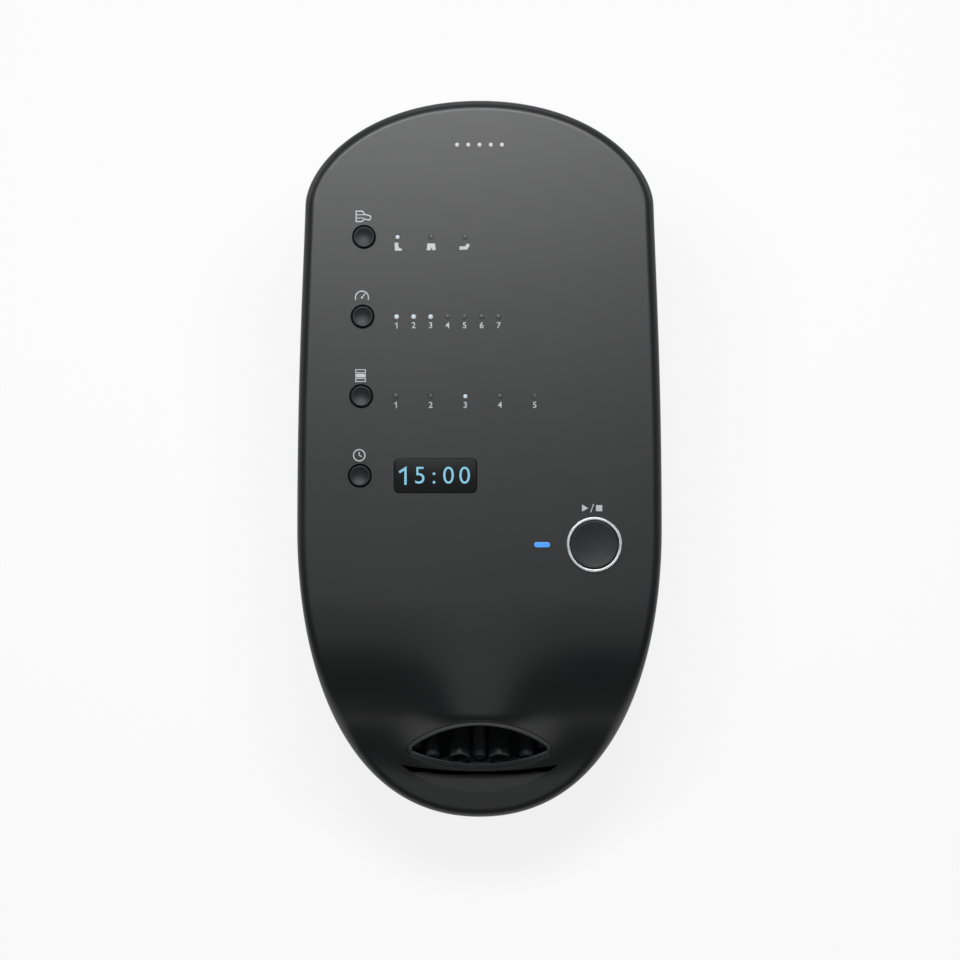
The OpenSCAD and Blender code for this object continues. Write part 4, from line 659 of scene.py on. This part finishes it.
def cap(name, body, u, v, r, dish, rim, slant):
    """A cap of radius r: dish is its bowl's depth, rim the margin's width, slant how far that drops."""
    bowl_r = r - rim
    bowl = [(x, CAP_TOP - dish * (1 - (x / bowl_r) ** 2)) for x in np.linspace(0, bowl_r, 14)]
    profile = soften([bowl[-1], (bowl_r + 0.12, CAP_TOP), (bowl_r + 0.3, CAP_TOP - 0.03),
                      (r, CAP_TOP - slant), (r, FLANGE_TOP), (r + FLANGE_W, FLANGE_TOP),
                      (r + FLANGE_W, FLANGE_LOW), (STEM_R, FLANGE_LOW), (STEM_R, STEM_LOW), (0, STEM_LOW)],
                     0.12, 3)
    piece = at(turned(name, bowl[:-1] + profile, 96, 40), u, v)
    put(piece, panel_turn)
    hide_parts(body.replace("_key", "_button"))
    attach(piece, body)
    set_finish(piece, "key_caps")
    return piece


names = ["attachment", "pressure", "zone", "time"]
caps = [cap(n + "_cap", n + "_key", u, v, KEY_R, 0.45, 0.5, 0.5) for n, (u, v) in zip(names, KEYS)]
caps.append(cap("start_cap", "start_key", *START, START_R, 0.42, 0.22, 0.22))
print("caps:", [c.name for c in caps])

# %% [markdown]
# ## The bright ring
# A turned metal ring frames the start button and stands a little proud of the panel. Its top is a
# narrow flat band with rounded shoulders, so it shines as one thin hoop. Its foot goes down into the
# cover's hole.

# %% Spin the ring
RING_OUT, RING_TOP, FOOT_R = RING_IN + 1.05, 0.66, START_HOLE - 0.05
ring_profile = soften([(RING_IN, -COVER_WALL), (FOOT_R, -COVER_WALL), (FOOT_R, 0.0), (RING_OUT, 0.0),
                       (RING_OUT, 0.42), (RING_IN + 0.85, RING_TOP), (RING_IN + 0.2, RING_TOP),
                       (RING_IN, 0.46), (RING_IN, -COVER_WALL)], 0.22, 5, keep=(2,))
ring = put(at(turned("start_trim", ring_profile, 128, 50), *START), panel_turn)
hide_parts("start_ring")
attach(ring, "housing")
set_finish(ring, "ring_metal")

# %% [markdown]
# ## Clock window and digits
# The window is a tinted plate set flush into the cover, with a fine polished edge. The digits glow
# through it. They are drawn as text, made a mesh, and laid a fiftieth of a millimetre above the window,
# which from any distance looks as if they shone through. The figure one is a flat band drawn along a
# short line, with a flag at its top.

# %% Window and digits
WINDOW_TOP, DIGIT_TOP, DIGIT_V = -0.12, -0.1, WINDOW[1] - 0.1
window = rounded_plate("clock_window", WINDOW_W, WINDOW_H, WINDOW_R, -COVER_WALL, WINDOW_TOP)
round_edges(window, 0.15, 3, 40)
put(at(shade(window, 40), *WINDOW), panel_turn)
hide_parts("display_window")
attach(window, "housing")
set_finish(window, "window_tint")


def lettering(name, words, size, u, v, w, bold):
    bpy.ops.object.text_add(location=(0, 0, 0))
    piece = bpy.context.active_object
    piece.name = name
    piece.data.body = words
    piece.data.size = size * MM
    piece.data.align_x = "CENTER"
    piece.data.align_y = "CENTER"
    piece.data.offset = bold * MM
    piece.data.resolution_u = 6
    bpy.ops.object.convert(target="MESH")
    piece = bpy.context.active_object
    return at(piece, u, v, w)


INK_W = 0.012


def stroke(points, width=0.34, closed=False, w=INK_W):
    """A flat band of the given width along a line, with mitred corners."""
    p = [np.array(q, float) for q in points]
    n = len(p)
    left, right = [], []
    for i in range(n):
        a = p[i - 1] if i or closed else None
        b = p[(i + 1) % n] if i < n - 1 or closed else None
        da = (p[i] - a) / np.linalg.norm(p[i] - a) if a is not None else None
        db = (b - p[i]) / np.linalg.norm(b - p[i]) if b is not None else None
        d = da if db is None else db if da is None else (da + db) / np.linalg.norm(da + db)
        side = np.array([-d[1], d[0]])
        ref = da if da is not None else db
        reach = width / 2 / max(0.5, abs(side @ [-ref[1], ref[0]]))
        left.append(p[i] + side * reach)
        right.append(p[i] - side * reach)
    spans = n if closed else n - 1
    faces = [[n + k, n + (k + 1) % n, (k + 1) % n, k] for k in range(spans)]
    return new_piece("stroke", [(x, y, w) for x, y in left + right], faces=faces)


def one(u, v, tall, width, w=INK_W):
    """The figure one: a stem with a short flag."""
    line = [(-0.3 * tall, 0.22 * tall), (0.06 * tall, 0.46 * tall), (0.06 * tall, -0.5 * tall)]
    return at(stroke(line, width, w=w), u, v)


digits = [one(WINDOW[0] - 9.5, DIGIT_V, 5.3, 0.72, DIGIT_TOP)]
digits += [lettering("digit", c, 7.5, WINDOW[0] + x, DIGIT_V, DIGIT_TOP, -0.03)
           for c, x in zip("5:00", (-4.75, -0.45, 4.0, 8.95))]
clock = put(joined("clock_digits", digits), panel_turn)
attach(clock, "housing")
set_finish(clock, "status_blue")

# %% [markdown]
# ## Light dots
# Each light is the tip of a clear guide that fills its hole in the cover. The tips are small domes.
# The lit ones are the five battery lights, the first attachment, three pressure steps and the middle
# zone. The others stay dark, with the guide's grey just showing.

# %% Domes for the lights
def dome(u, v, r):
    tip = [(r * sin(a), -0.14 + 0.12 * cos(a)) for a in np.linspace(0, pi / 2, 7)]
    return at(turned("dot", tip + [(r, -COVER_WALL), (0, -COVER_WALL)], 24, 40), u, v)


SMALL_TIP, MIDDLE_TIP, WIDE_TIP, FULL_TIP = 0.6, 0.62, 0.7, 0.79
lit = [dome(u, v, SMALL_TIP) for u, v in BATTERY] + [dome(*ATTACHMENT[0], MIDDLE_TIP)]
lit += [dome(u, v, WIDE_TIP) for u, v in PRESSURE[:3]] + [dome(*ZONE[2], MIDDLE_TIP)]
unlit = [dome(u, v, FULL_TIP) for u, v in ATTACHMENT[1:] + PRESSURE[3:] + ZONE[:2] + ZONE[3:]]
lit_dots = put(joined("lit_dots", lit), panel_turn)
unlit_dots = put(joined("unlit_dots", unlit), panel_turn)
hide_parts("light_guides")
status_light = rounded_plate("status_pill", STATUS_L, 2 * STATUS_R, STATUS_R - 0.02, -COVER_WALL, -0.03, 12)
round_edges(status_light, 0.12, 3, 40)
put(at(shade(status_light, 40), *STATUS), panel_turn)
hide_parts("status_light_guide")
for piece, finish in ((lit_dots, "light_guide"), (unlit_dots, "light_guide"), (status_light, "status_blue")):
    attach(piece, "housing")
    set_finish(piece, finish)
print("lit:", len(lit), "unlit:", len(unlit))

# %% [markdown]
# ## Printed marks
# The real panel is pad-printed in pale grey. Here the marks are plain numbers and simple signs: a
# sleeve, a gauge, stacked zones, a clock, and the usual start and stop signs. They are made of the same
# flat bands as the figure one, and lie 0.012 mm above the surface so they never flicker against it.

# %% Numbers and signs
def circle(x, y, r, n=28, a0=0.0, a1=2 * pi):
    ends = np.linspace(a0, a1, n + 1)
    return [(x + r * cos(a), y + r * sin(a)) for a in (ends[:-1] if a1 - a0 > 6.2 else ends)]


def filled(points):
    return new_piece("fill", [(x, y, INK_W) for x, y in points], faces=[list(range(len(points)))])


def sign(u, v, parts):
    return [at(piece, u, v) for piece in parts]


SLEEVES = [(-2.2, 1.6), (-2.2, -1.6), (-0.4, -1.6), (0.3, -0.8), (1.9, -1.1), (2.3, -0.3), (2.2, 0.1),
           (0.5, 0.6), (-0.3, 1.6)]
SIGN_RISE, SIGN_LEFT, THIN, SHAPE_DROP, NUMBER_DROP = 6.3, 0.2, 0.24, 3.0, 2.75


def box_round(y, w, h):
    """The corners of a box, half its size w and h, round the middle at height y."""
    return [(-w, y - h), (w, y - h), (w, y + h), (-w, y + h)]


key_signs = [
    [stroke(SLEEVES, closed=True), stroke([(-2.2, 0.5), (0.4, 0.5)], THIN),
     stroke([(-2.2, -0.5), (0.1, -0.5)], THIN)],
    [stroke(circle(0, -0.5, 2.0, 24, radians(-20), radians(200))), stroke([(0, -0.5), (1.0, 0.75)]),
     filled(circle(0, -0.5, 0.34, 14))],
    [stroke(box_round(y, 1.5, 0.45), 0.26, closed=True) for y in (-1.35, 1.35)]
    + [filled(box_round(0, 1.6, 0.55))],
    [stroke(circle(0, 0, 1.75), closed=True), stroke([(0, 1.0), (0, 0), (0.8, -0.45)], 0.3)]]
marks = []
for (u, v), parts in zip(KEYS, key_signs):
    marks += sign(u - SIGN_LEFT, v + SIGN_RISE, parts)
marks += sign(START[0] - 0.8, START[1] + 11.2, [
    filled([(-3.0, -1.1), (-1.1, 0), (-3.0, 1.1)]), stroke([(-0.35, -1.3), (0.55, 1.3)], 0.28),
    filled([(1.3, -0.95), (3.2, -0.95), (3.2, 0.95), (1.3, 0.95)])])
BOOT = [(-0.95, 1.25), (0.2, 1.25), (0.25, -0.2), (1.35, -0.7), (1.35, -1.2), (-0.8, -1.2)]
SHORTS = [(-1.15, 1.0), (1.15, 1.0), (1.4, -1.05), (0.3, -1.05), (0, -0.15), (-0.3, -1.05), (-1.4, -1.05)]
SLEEVE = [(-1.6, 0.1), (0.1, 0.15), (0.75, 1.05), (1.6, 0.55), (0.75, -0.85), (-1.6, -0.95)]
for (u, v), shape in zip(ATTACHMENT, (BOOT, SHORTS, SLEEVE)):
    marks += sign(u, v - SHAPE_DROP, [filled(shape)])
for i, (u, v) in list(enumerate(PRESSURE)) + list(enumerate(ZONE)):
    if i:
        marks.append(lettering("number", str(i + 1), 2.6, u, v - NUMBER_DROP, INK_W, 0.035))
    else:
        marks.append(one(u, v - NUMBER_DROP, 1.85, 0.3))
print_marks = put(joined("printed_marks", marks), panel_turn)
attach(print_marks, "housing")
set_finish(print_marks, "light_guide")
print("marks:", len(marks))

# %% [markdown]
# ## Socket, nozzles and everything on the rear
# These pieces are already right in the CAD model, but its edges are sharp, and sharp edges catch no
# light. So a copy of each is merged, its flat faces are joined again, and a Bevel modifier rounds its
# edges by the small radius that a mould leaves. The copy then stands for the CAD piece.

# %% Copies with rounded edges
EASED_ABOVE = 32


def eased(name, node, width, body="housing"):
    source = nodes[node]
    piece = bpy.data.objects.new(name, source.data.copy())
    bpy.context.collection.objects.link(piece)
    put(piece, source.matrix_world)

    def work():
        bpy.ops.mesh.remove_doubles(threshold=2e-6)
        bpy.ops.mesh.dissolve_limited(angle_limit=radians(0.6))
    in_edit(piece, work)
    round_edges(piece, width, 2, EASED_ABOVE)
    shade(piece, EASED_ABOVE + 8)
    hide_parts(node)
    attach(piece, body)
    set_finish(piece, slot_of[node])
    return piece


slot_of = {s["node"]: s["material_slot"] for s in frame["record"]["subparts"]}
for row in (("socket_insert", "air_socket", 0.22), ("hose_nozzles", "nozzle_plate", 0.14),
            ("rear_plate", "rear_panel", 0.3), ("inlet_barrel", "power_inlet", 0.2),
            ("switch_frame", "rocker_switch", 0.25), ("rocker_paddle", "power_rocker", 0.3, "rocker"),
            ("filter_grille", "filter_cover", 0.25), ("feet", "rubber_feet", 0.4)):
    piece = eased(*row)
    print(piece.name, len(piece.data.polygons))

# %% [markdown]
# ## The rim of the mouth
# A separate insert lines the mouth. Its rim slopes inwards all round, which shows as a lighter band
# above the opening. The rim is skinned from copies of the mouth's outline, each one drawn in a little
# further and set a little deeper.

# %% Skin the rim
RIM_STEPS = [(0.06, 1.2), (0.06, 0.5), (0.12, 0.36), (0.24, 0.32), (0.7, 0.52), (1.2, 0.86),
             (1.42, 1.1), (1.5, 1.45), (1.5, 3.0), (1.5, 6.0)]


rim_rings = []
for d, depth in RIM_STEPS:
    q = lens(d, 60, 18)
    rim_rings.append(np.column_stack([q, height(q[:, 0], q[:, 1]) - depth]))
rim = new_piece("mouth_rim", np.concatenate(rim_rings), faces=strip_faces(len(rim_rings), len(q)))
put(shade(rim, 45), panel_turn)
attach(rim, "housing")
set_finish(rim, "socket_black")
print("rim faces:", len(rim.data.polygons))

# %% [markdown]
# ## The marks on the rocker
# A power rocker carries a line for on and a circle for off, moulded in white. Both ride with it.

# %% A line and a circle
ROCKER_U, ROCKER_DEPTH, ROCKER_TOP, ROCKER_LEAN, MARK_V = 8.5, 5.2, 2.6, 8.0, 3.1
rocker_turn = rear_turn @ Matrix.Translation((ROCKER_U * MM, 0, -ROCKER_DEPTH * MM))
on_mark = at(stroke([(-0.9, 0), (0.9, 0)], 0.4), 0, MARK_V)
off_mark = at(stroke(circle(0, 0, 0.85), 0.34, closed=True), 0, -MARK_V)
for piece, lean in ((on_mark, ROCKER_LEAN), (off_mark, -ROCKER_LEAN)):
    put(piece, Matrix.Translation((0, 0, ROCKER_TOP * MM)) @ Matrix.Rotation(radians(lean), 4, "X")
        @ Matrix.Translation((0, 0, 0.02 * MM)))
rocker_marks = put(joined("rocker_marks", [on_mark, off_mark]), rocker_turn)
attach(rocker_marks, "rocker")
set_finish(rocker_marks, "light_guide")

# %% [markdown]
# ## A way to write finishes
# Colours are picked on screen, so they are written as sRGB hex values, and one function turns them to
# the linear values that the shader wants. One more function adds a node with its settings and links.
# Most finishes share a plan: a colour that drifts slightly in broad patches, a roughness that varies
# with it, and a bump whose spacing comes from the real surface in millimetres.

# %% Colour, node and the shared plan
def linear(code):
    c = [int(code[i:i + 2], 16) / 255 for i in (1, 3, 5)]
    return [x / 12.92 if x <= 0.04045 else ((x + 0.055) / 1.055) ** 2.4 for x in c] + [1.0]


def wire(tree, node, links):
    for key, source in dict(links).items():
        tree.links.new(source, node.inputs[key])


def add(tree, kind, values=(), links=(), **settings):
    n = tree.nodes.new("ShaderNode" + kind)
    for key, value in settings.items():
        setattr(n, key, value)
    for key, value in dict(values).items():
        n.inputs[key].default_value = value
    wire(tree, n, links)
    return n


def blank(name):
    """A new material, its tree and shader, and the output for places on the object."""
    material = bpy.data.materials.new(name)
    material.use_nodes = True
    tree = material.node_tree
    return material, tree, tree.nodes["Principled BSDF"], add(tree, "TexCoord").outputs["Object"]


def per_mm(spacing):
    """A texture scale that repeats about every so many millimetres."""
    return 1 / (spacing * MM)


def finish(name, dark, light, rough, patch, grain, depth, spread=0.06, kind="TexNoise", stretch=(1, 1, 1),
           contrast=(0.35, 0.65), **sockets):
    """Patches of two close colours, patch mm across, and a bump of the given depth, grain mm apart."""
    material, tree, shader, place = blank(name)
    stretched = add(tree, "Mapping", {"Scale": stretch}, {"Vector": place}).outputs[0]
    cloud = add(tree, "TexNoise", {"Scale": per_mm(patch), "Detail": 4.0}, {"Vector": stretched})
    patches = cloud.outputs[0]
    low, high = contrast
    spots = add(tree, "MapRange", {"From Min": low, "From Max": high}, {"Value": patches}).outputs[0]
    colour = add(tree, "Mix", {6: linear(dark), 7: linear(light)}, {0: spots}, data_type="RGBA").outputs[2]
    smoothest, roughest = rough - spread, rough + spread
    shine = add(tree, "MapRange", {"To Min": smoothest, "To Max": roughest}, {"Value": patches}).outputs[0]
    texture = add(tree, kind, {"Scale": per_mm(grain)}, {"Vector": stretched})
    bump = add(tree, "Bump", {"Strength": 1.0, "Distance": depth * MM}, {"Height": texture.outputs[0]})
    wire(tree, shader, {"Base Color": colour, "Roughness": shine, "Normal": bump.outputs[0]})
    for key, value in sockets.items():
        shader.inputs[key.replace("_", " ").title().replace("Ior", "IOR")].default_value = value
    return material


FINISH = {}


def dress(slot, *looks, **sockets):
    """Writes the finish of one material slot."""
    FINISH[slot] = finish(*looks, **sockets)


# %% [markdown]
# ## The shell's plastics
# The cover is injection-moulded ABS with a sprayed satin lacquer: near black, with a soft sheen that
# spreads a lamp's reflection over the whole panel. The tub is the same plastic without lacquer. Its
# mould was spark-eroded, which leaves a fine, even grain, and it looks a little rougher.

# %% Satin lacquer, eroded grain, satin caps
# Lacquer on ABS: fine orange peel about 1.4 mm across and very shallow, so the sheen stays smooth.
dress("cover_shell", "satin_lacquer_on_abs", "#17181A", "#191A1B", 0.4, 38, 1.4, 0.0012, 0.012, ior=1.5)
# Spark-eroded ABS: real grain 0.1 mm, drawn 0.45 mm so that it shows.
dress("housing_shell", "spark_eroded_abs", "#17181A", "#1C1D1F", 0.52, 22, 0.45, 0.018, 0.04)
# Caps of moulded polycarbonate with a satin face; fingers polish them slightly in patches.
dress("key_caps", "satin_polycarbonate_caps", "#101315", "#15191B", 0.42, 4, 0.5, 0.0015, 0.05, ior=1.45)
# The insert of the socket is bare ABS, a little glossier and lighter than the lacquered shell.
dress("socket_black", "moulded_gloss_abs", "#2A2C2E", "#303234", 0.36, 9, 0.8, 0.002, 0.05)
dress("nozzle_grey", "moulded_nylon_nozzles", "#34363A", "#3C3E42", 0.38, 5, 0.5, 0.003, 0.05)
dress("rocker_black", "moulded_nylon_rocker", "#141416", "#1A1A1C", 0.35, 6, 0.4, 0.004, 0.05)
dress("connector_black", "glass_filled_nylon", "#131314", "#1C1C1E", 0.48, 5, 0.35, 0.008, 0.06)
dress("cradle_plastic", "moulded_polypropylene", "#2A2B2D", "#323335", 0.5, 14, 0.6, 0.006, 0.05)
dress("manifold_grey", "machined_acetal", "#5C5E60", "#6A6C6E", 0.42, 12, 0.5, 0.004, 0.05)
dress("plunger_white", "natural_nylon", "#D6D2C6", "#E2DFD4", 0.4, 6, 0.5, 0.003, 0.05,
      subsurface_weight=0.1)
print("finishes:", len(FINISH))

# %% [markdown]
# ## Rubbers and soft pieces
# Rubber has no grain of its own, but its mould and the dust it holds leave a dull, slightly patchy
# face. Silicone is smoother and lets some light through. The filter is open-cell foam, whose pores
# are real holes, so they are drawn with cells and a deep bump.

# %% Rubber, silicone, leads and foam
dress("rubber_black", "moulded_rubber", "#1A1A1A", "#242424", 0.72, 5, 0.5, 0.012, 0.08)
dress("gasket_rubber", "red_silicone_gasket", "#7A2A22", "#8C352B", 0.55, 5, 0.5, 0.006, 0.05)
dress("tube_silicone", "clear_silicone_tube", "#C4CBCE", "#D8DEE0", 0.3, 8, 0.8, 0.004, 0.05,
      transmission_weight=0.35, ior=1.41)
dress("lead_red", "red_pvc_insulation", "#8E1B17", "#A3241E", 0.42, 6, 0.7, 0.004, 0.05)
dress("lead_black", "black_pvc_insulation", "#17171A", "#202022", 0.42, 6, 0.7, 0.004, 0.05)
dress("filter_foam", "open_cell_foam", "#1B1C1D", "#303234", 0.9, 2, 0.9, 0.35, 0.05, kind="TexVoronoi")

# %% [markdown]
# ## Metals
# A metal keeps the default IOR, and its colour is its reflection. The ring is turned and plated, so it
# carries the finest marks, drawn as a shallow noise. The motor can is drawn steel, whose marks run along it,
# so its noise is stretched along the motor's axis. Castings are coarser.

# %% Plated, drawn, cast and turned metal
dress("ring_metal", "nickel_plated_brass", "#D2D4D6", "#DEE0E2", 0.36, 6, 0.6, 0.0008, 0.04, metallic=1.0)
dress("switch_metal", "stamped_steel", "#8E9092", "#A6A8AA", 0.32, 3, 0.6, 0.004, 0.06, metallic=1.0)
dress("screw_steel", "zinc_plated_steel", "#8F9296", "#A9ACAE", 0.34, 2, 0.5, 0.004, 0.08, metallic=1.0)
dress("can_steel", "drawn_steel", "#8B8E91", "#A5A7AA", 0.33, 7, 0.35, 0.006, 0.08, stretch=(1, 0.08, 1),
      metallic=1.0)
dress("cast_alloy", "die_cast_alloy", "#85878A", "#9B9DA0", 0.46, 5, 0.7, 0.03, 0.08, metallic=1.0)
dress("spacer_brass", "turned_brass", "#B0924E", "#C2A45E", 0.28, 3, 0.3, 0.004, 0.05, metallic=1.0)
dress("pin_gold", "gold_plated_pin", "#C9A24A", "#D8B25A", 0.2, 2, 0.4, 0.002, 0.04, metallic=1.0)
# Enamelled copper wire on a steel core: the turns are 0.5 mm apart.
dress("armature_copper", "enamelled_copper_wire", "#8A4A26", "#A86038", 0.3, 4, 0.5, 0.12, 0.05,
      kind="TexWave", metallic=1.0)

# %% [markdown]
# ## Boards, chips and cells
# Solder mask is a green lacquer over copper tracks. The tracks show as slightly raised, lighter lines,
# drawn here as the edges of square cells two millimetres apart. The cells are wrapped in shrink film,
# glossy and a little wavy.

# %% Solder mask and its tracks, then the small parts
def solder_mask():
    material, tree, shader, place = blank("solder_mask_on_glass_fibre")
    cells = add(tree, "TexVoronoi", {"Scale": per_mm(2.2), "Randomness": 0.55}, {"Vector": place},
                feature="DISTANCE_TO_EDGE", distance="EUCLIDEAN").outputs["Distance"]
    track = add(tree, "MapRange", {"From Min": 0.06, "From Max": 0.1, "To Min": 1.0, "To Max": 0.0},
                {"Value": cells}).outputs[0]
    mask, copper = linear("#0F3D22"), linear("#1E6B3B")
    colour = add(tree, "Mix", {6: mask, 7: copper}, {0: track}, data_type="RGBA").outputs[2]
    bump = add(tree, "Bump", {"Distance": 0.035 * MM}, {"Height": track}).outputs[0]
    weave = add(tree, "TexNoise", {"Scale": per_mm(0.6)}, {"Vector": place}).outputs[0]
    shine = add(tree, "MapRange", {"To Min": 0.22, "To Max": 0.36}, {"Value": weave}).outputs[0]
    wire(tree, shader, {"Base Color": colour, "Roughness": shine, "Normal": bump})
    return material


FINISH["circuit_board"] = solder_mask()
dress("led_white", "phosphor_in_epoxy", "#E3DCB4", "#EDE7C8", 0.25, 1.5, 0.4, 0.004, 0.05)
dress("chip_grey", "moulded_epoxy_package", "#232426", "#2D2E30", 0.5, 3, 0.3, 0.01, 0.06)
dress("valve_coil", "taped_coil", "#1C3360", "#264379", 0.4, 4, 1.2, 0.02, 0.05)
dress("cell_wrap", "pvc_shrink_film", "#1C6644", "#247A53", 0.24, 18, 5, 0.05, 0.05)
dress("display_black", "black_display_glass", "#08080A", "#0E0E10", 0.12, 8, 1.5, 0.001, 0.02)
print("finishes:", len(FINISH))

# %% [markdown]
# ## Window and lights
# The window is smoked acrylic with a satin, glare-free front: nearly black, with a weak broad sheen. The
# light guides are clear acrylic. What glows is given emission at about the brightness the eye sees, so
# it stays a colour and doesn't burn out to white.

# %% Smoked acrylic, clear acrylic, glow and ink
dress("window_tint", "smoked_acrylic_satin_front", "#0B0D0E", "#101213", 0.42, 9, 1.2, 0.001, 0.03,
      specular_ior_level=0.15)
dress("light_guide", "clear_acrylic_unlit", "#303132", "#3A3B3C", 0.42, 1.2, 0.5, 0.001, 0.04, ior=1.49)


def glow(name, base, colour, strength):
    """Acrylic lit from behind: the emission falls off a little in fine patches, as diffused light does."""
    material = finish(name, base, base, 0.3, 2, 0.6, 0.001, 0.03, ior=1.49)
    tree = material.node_tree
    shader = tree.nodes["Principled BSDF"]
    place = add(tree, "TexCoord").outputs["Object"]
    haze = add(tree, "TexNoise", {"Scale": per_mm(3), "Detail": 2.0}, {"Vector": place}).outputs[0]
    shade_of = [0.9 * c for c in linear(colour)[:3]] + [1.0]
    tint = add(tree, "Mix", {6: shade_of, 7: linear(colour)}, {0: haze}, data_type="RGBA").outputs[2]
    tree.links.new(tint, shader.inputs["Emission Color"])
    shader.inputs["Emission Strength"].default_value = strength
    return material


FINISH["status_blue"] = glow("status_light_acrylic", "#1A3A66", "#4E9BF5", 1.0)
# The four small caps are duller than the start cap: their moulds are textured.
small_caps = finish("textured_polycarbonate_caps", "#0F1113", "#14171A", 0.46, 3, 0.4, 0.003, 0.04,
                    specular_ior_level=0.3)
digit_glow = glow("clock_segments", "#12262B", "#86C8E2", 1.0)
dot_glow = glow("lit_white_acrylic", "#4A5054", "#D4DCE2", 0.8)
# Pad-printing ink: flat, pale grey, with a barely visible unevenness.
ink = finish("pad_print_ink", "#B4B6B8", "#BEC0C2", 0.55, 1.5, 0.3, 0.0005, 0.05)

# %% [markdown]
# ## Every piece gets its finish
# New pieces take the finish of the slot they name, apart from what glows or is printed. CAD pieces
# that stay keep their mesh and only get their slot's material.

# %% Hand out the finishes
special = {c.name: small_caps for c in caps[:4]}
special |= {"clock_digits": digit_glow, "lit_dots": dot_glow, "printed_marks": ink, "rocker_marks": ink}
dressed = 0
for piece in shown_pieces():
    slot_name = slot_of.get(piece.get("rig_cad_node")) or piece.get("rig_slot")
    material = special.get(piece.name) or FINISH[slot_name]
    piece.data.materials.clear()
    piece.data.materials.append(material)
    dressed += 1
print("dressed pieces:", dressed)

# %% [markdown]
# ## Floor, light and camera
# The floor is a plain pale sheet. It reads as white to the camera and in reflections, and it still
# takes the pump's soft shadow. A near softbox above the head end gives the panel its falling sheen,
# low boxes at both sides and behind light the walls and draw a line along the rim, and a weak one high
# in front softens the start of the nose and reaches into the socket. The lamps together light a level
# surface about as brightly as its colour is written.

# %% Floor and world
FLOOR_SIZE, FLOOR_GAP, GLOW_SHARE, AMBIENT = 0.8, 0.05 * MM, 0.86, 0.07
bpy.ops.object.select_all(action="DESELECT")
bpy.ops.mesh.primitive_plane_add(size=FLOOR_SIZE, location=(0, 0, -FLOOR_GAP))
floor = bpy.context.active_object
floor.name = "floor"
floor_paint = bpy.data.materials.new("matt_white_paint")
floor_paint.use_nodes = True
tree = floor_paint.node_tree
tree.nodes.remove(tree.nodes["Principled BSDF"])
rays = add(tree, "LightPath")
kinds = ("Camera", "Glossy", "Transmission")
to_camera, in_gloss, through = (rays.outputs[f"Is {kind} Ray"] for kind in kinds)
seen = add(tree, "Math", {}, {0: to_camera, 1: in_gloss}, operation="MAXIMUM")
seen = add(tree, "Math", {}, {0: seen.outputs[0], 1: through}, operation="MAXIMUM")
amount = add(tree, "Math", {1: GLOW_SHARE}, {0: seen.outputs[0]}, operation="MULTIPLY")
sheet = add(tree, "BsdfDiffuse", {"Color": linear("#F2F2F2")})
lit_sheet = add(tree, "Emission", {"Color": (1, 1, 1, 1), "Strength": 1.0})
both = add(tree, "MixShader", {}, {0: amount.outputs[0], 1: sheet.outputs[0], 2: lit_sheet.outputs[0]})
tree.links.new(both.outputs[0], tree.nodes["Material Output"].inputs["Surface"])
floor.data.materials.append(floor_paint)
world = bpy.data.worlds.new("studio")
bpy.context.scene.world = world
world.use_nodes = True
tree = world.node_tree
rays = add(tree, "LightPath")
level = add(tree, "MapRange", {"To Min": AMBIENT, "To Max": 1.0}, {"Value": rays.outputs["Is Camera Ray"]})
tree.links.new(level.outputs[0], tree.nodes["Background"].inputs["Strength"])
tree.nodes["Background"].inputs["Color"].default_value = (1, 1, 1, 1)


# %% Softboxes and camera
CAMERA_AWAY, FRAME_MM, SENSOR_MM = 5000.0, 294.15, 36.0
VIEW_U, VIEW_V = 0.15, -6.28


def softbox(name, place, target, size, watts):
    lamp = bpy.data.lights.new(name, "AREA")
    lamp.shape = "RECTANGLE"
    lamp.size, lamp.size_y = size
    lamp.energy = watts
    box = bpy.data.objects.new(name, lamp)
    bpy.context.collection.objects.link(box)
    box.location = place
    box.rotation_euler = (Vector(target) - Vector(place)).to_track_quat("-Z", "Y").to_euler()
    box.visible_camera = False


middle = (0, 0, 0.08)
above_head = panel_turn @ Vector((-0.015, 0.2, 0.4))
softbox("key_box", above_head, panel_turn @ Vector((0, 0, 0)), (0.3, 0.15), 2.08)
softbox("left_box", (-1.3, 0.6, 0.3), middle, (1.0, 0.4), 4.0)
softbox("right_box", (1.3, 0.6, 0.3), middle, (1.0, 0.4), 4.0)
softbox("front_box", (0, -0.68, 1.15), (0, -0.08, 0.05), (0.8, 0.4), 0.85)
softbox("back_box", (0, 1.3, 0.3), middle, (1.2, 0.4), 4.0)
bpy.context.scene.view_settings.view_transform = "Standard"
lens_data = bpy.data.cameras.new("camera")
lens_data.lens = SENSOR_MM * CAMERA_AWAY / FRAME_MM
camera = bpy.data.objects.new("camera", lens_data)
bpy.context.collection.objects.link(camera)
camera.matrix_world = panel_turn @ Matrix.Translation((VIEW_U * MM, VIEW_V * MM, CAMERA_AWAY * MM))
bpy.context.scene.camera = camera
print("camera at", [round(c, 3) for c in camera.location])
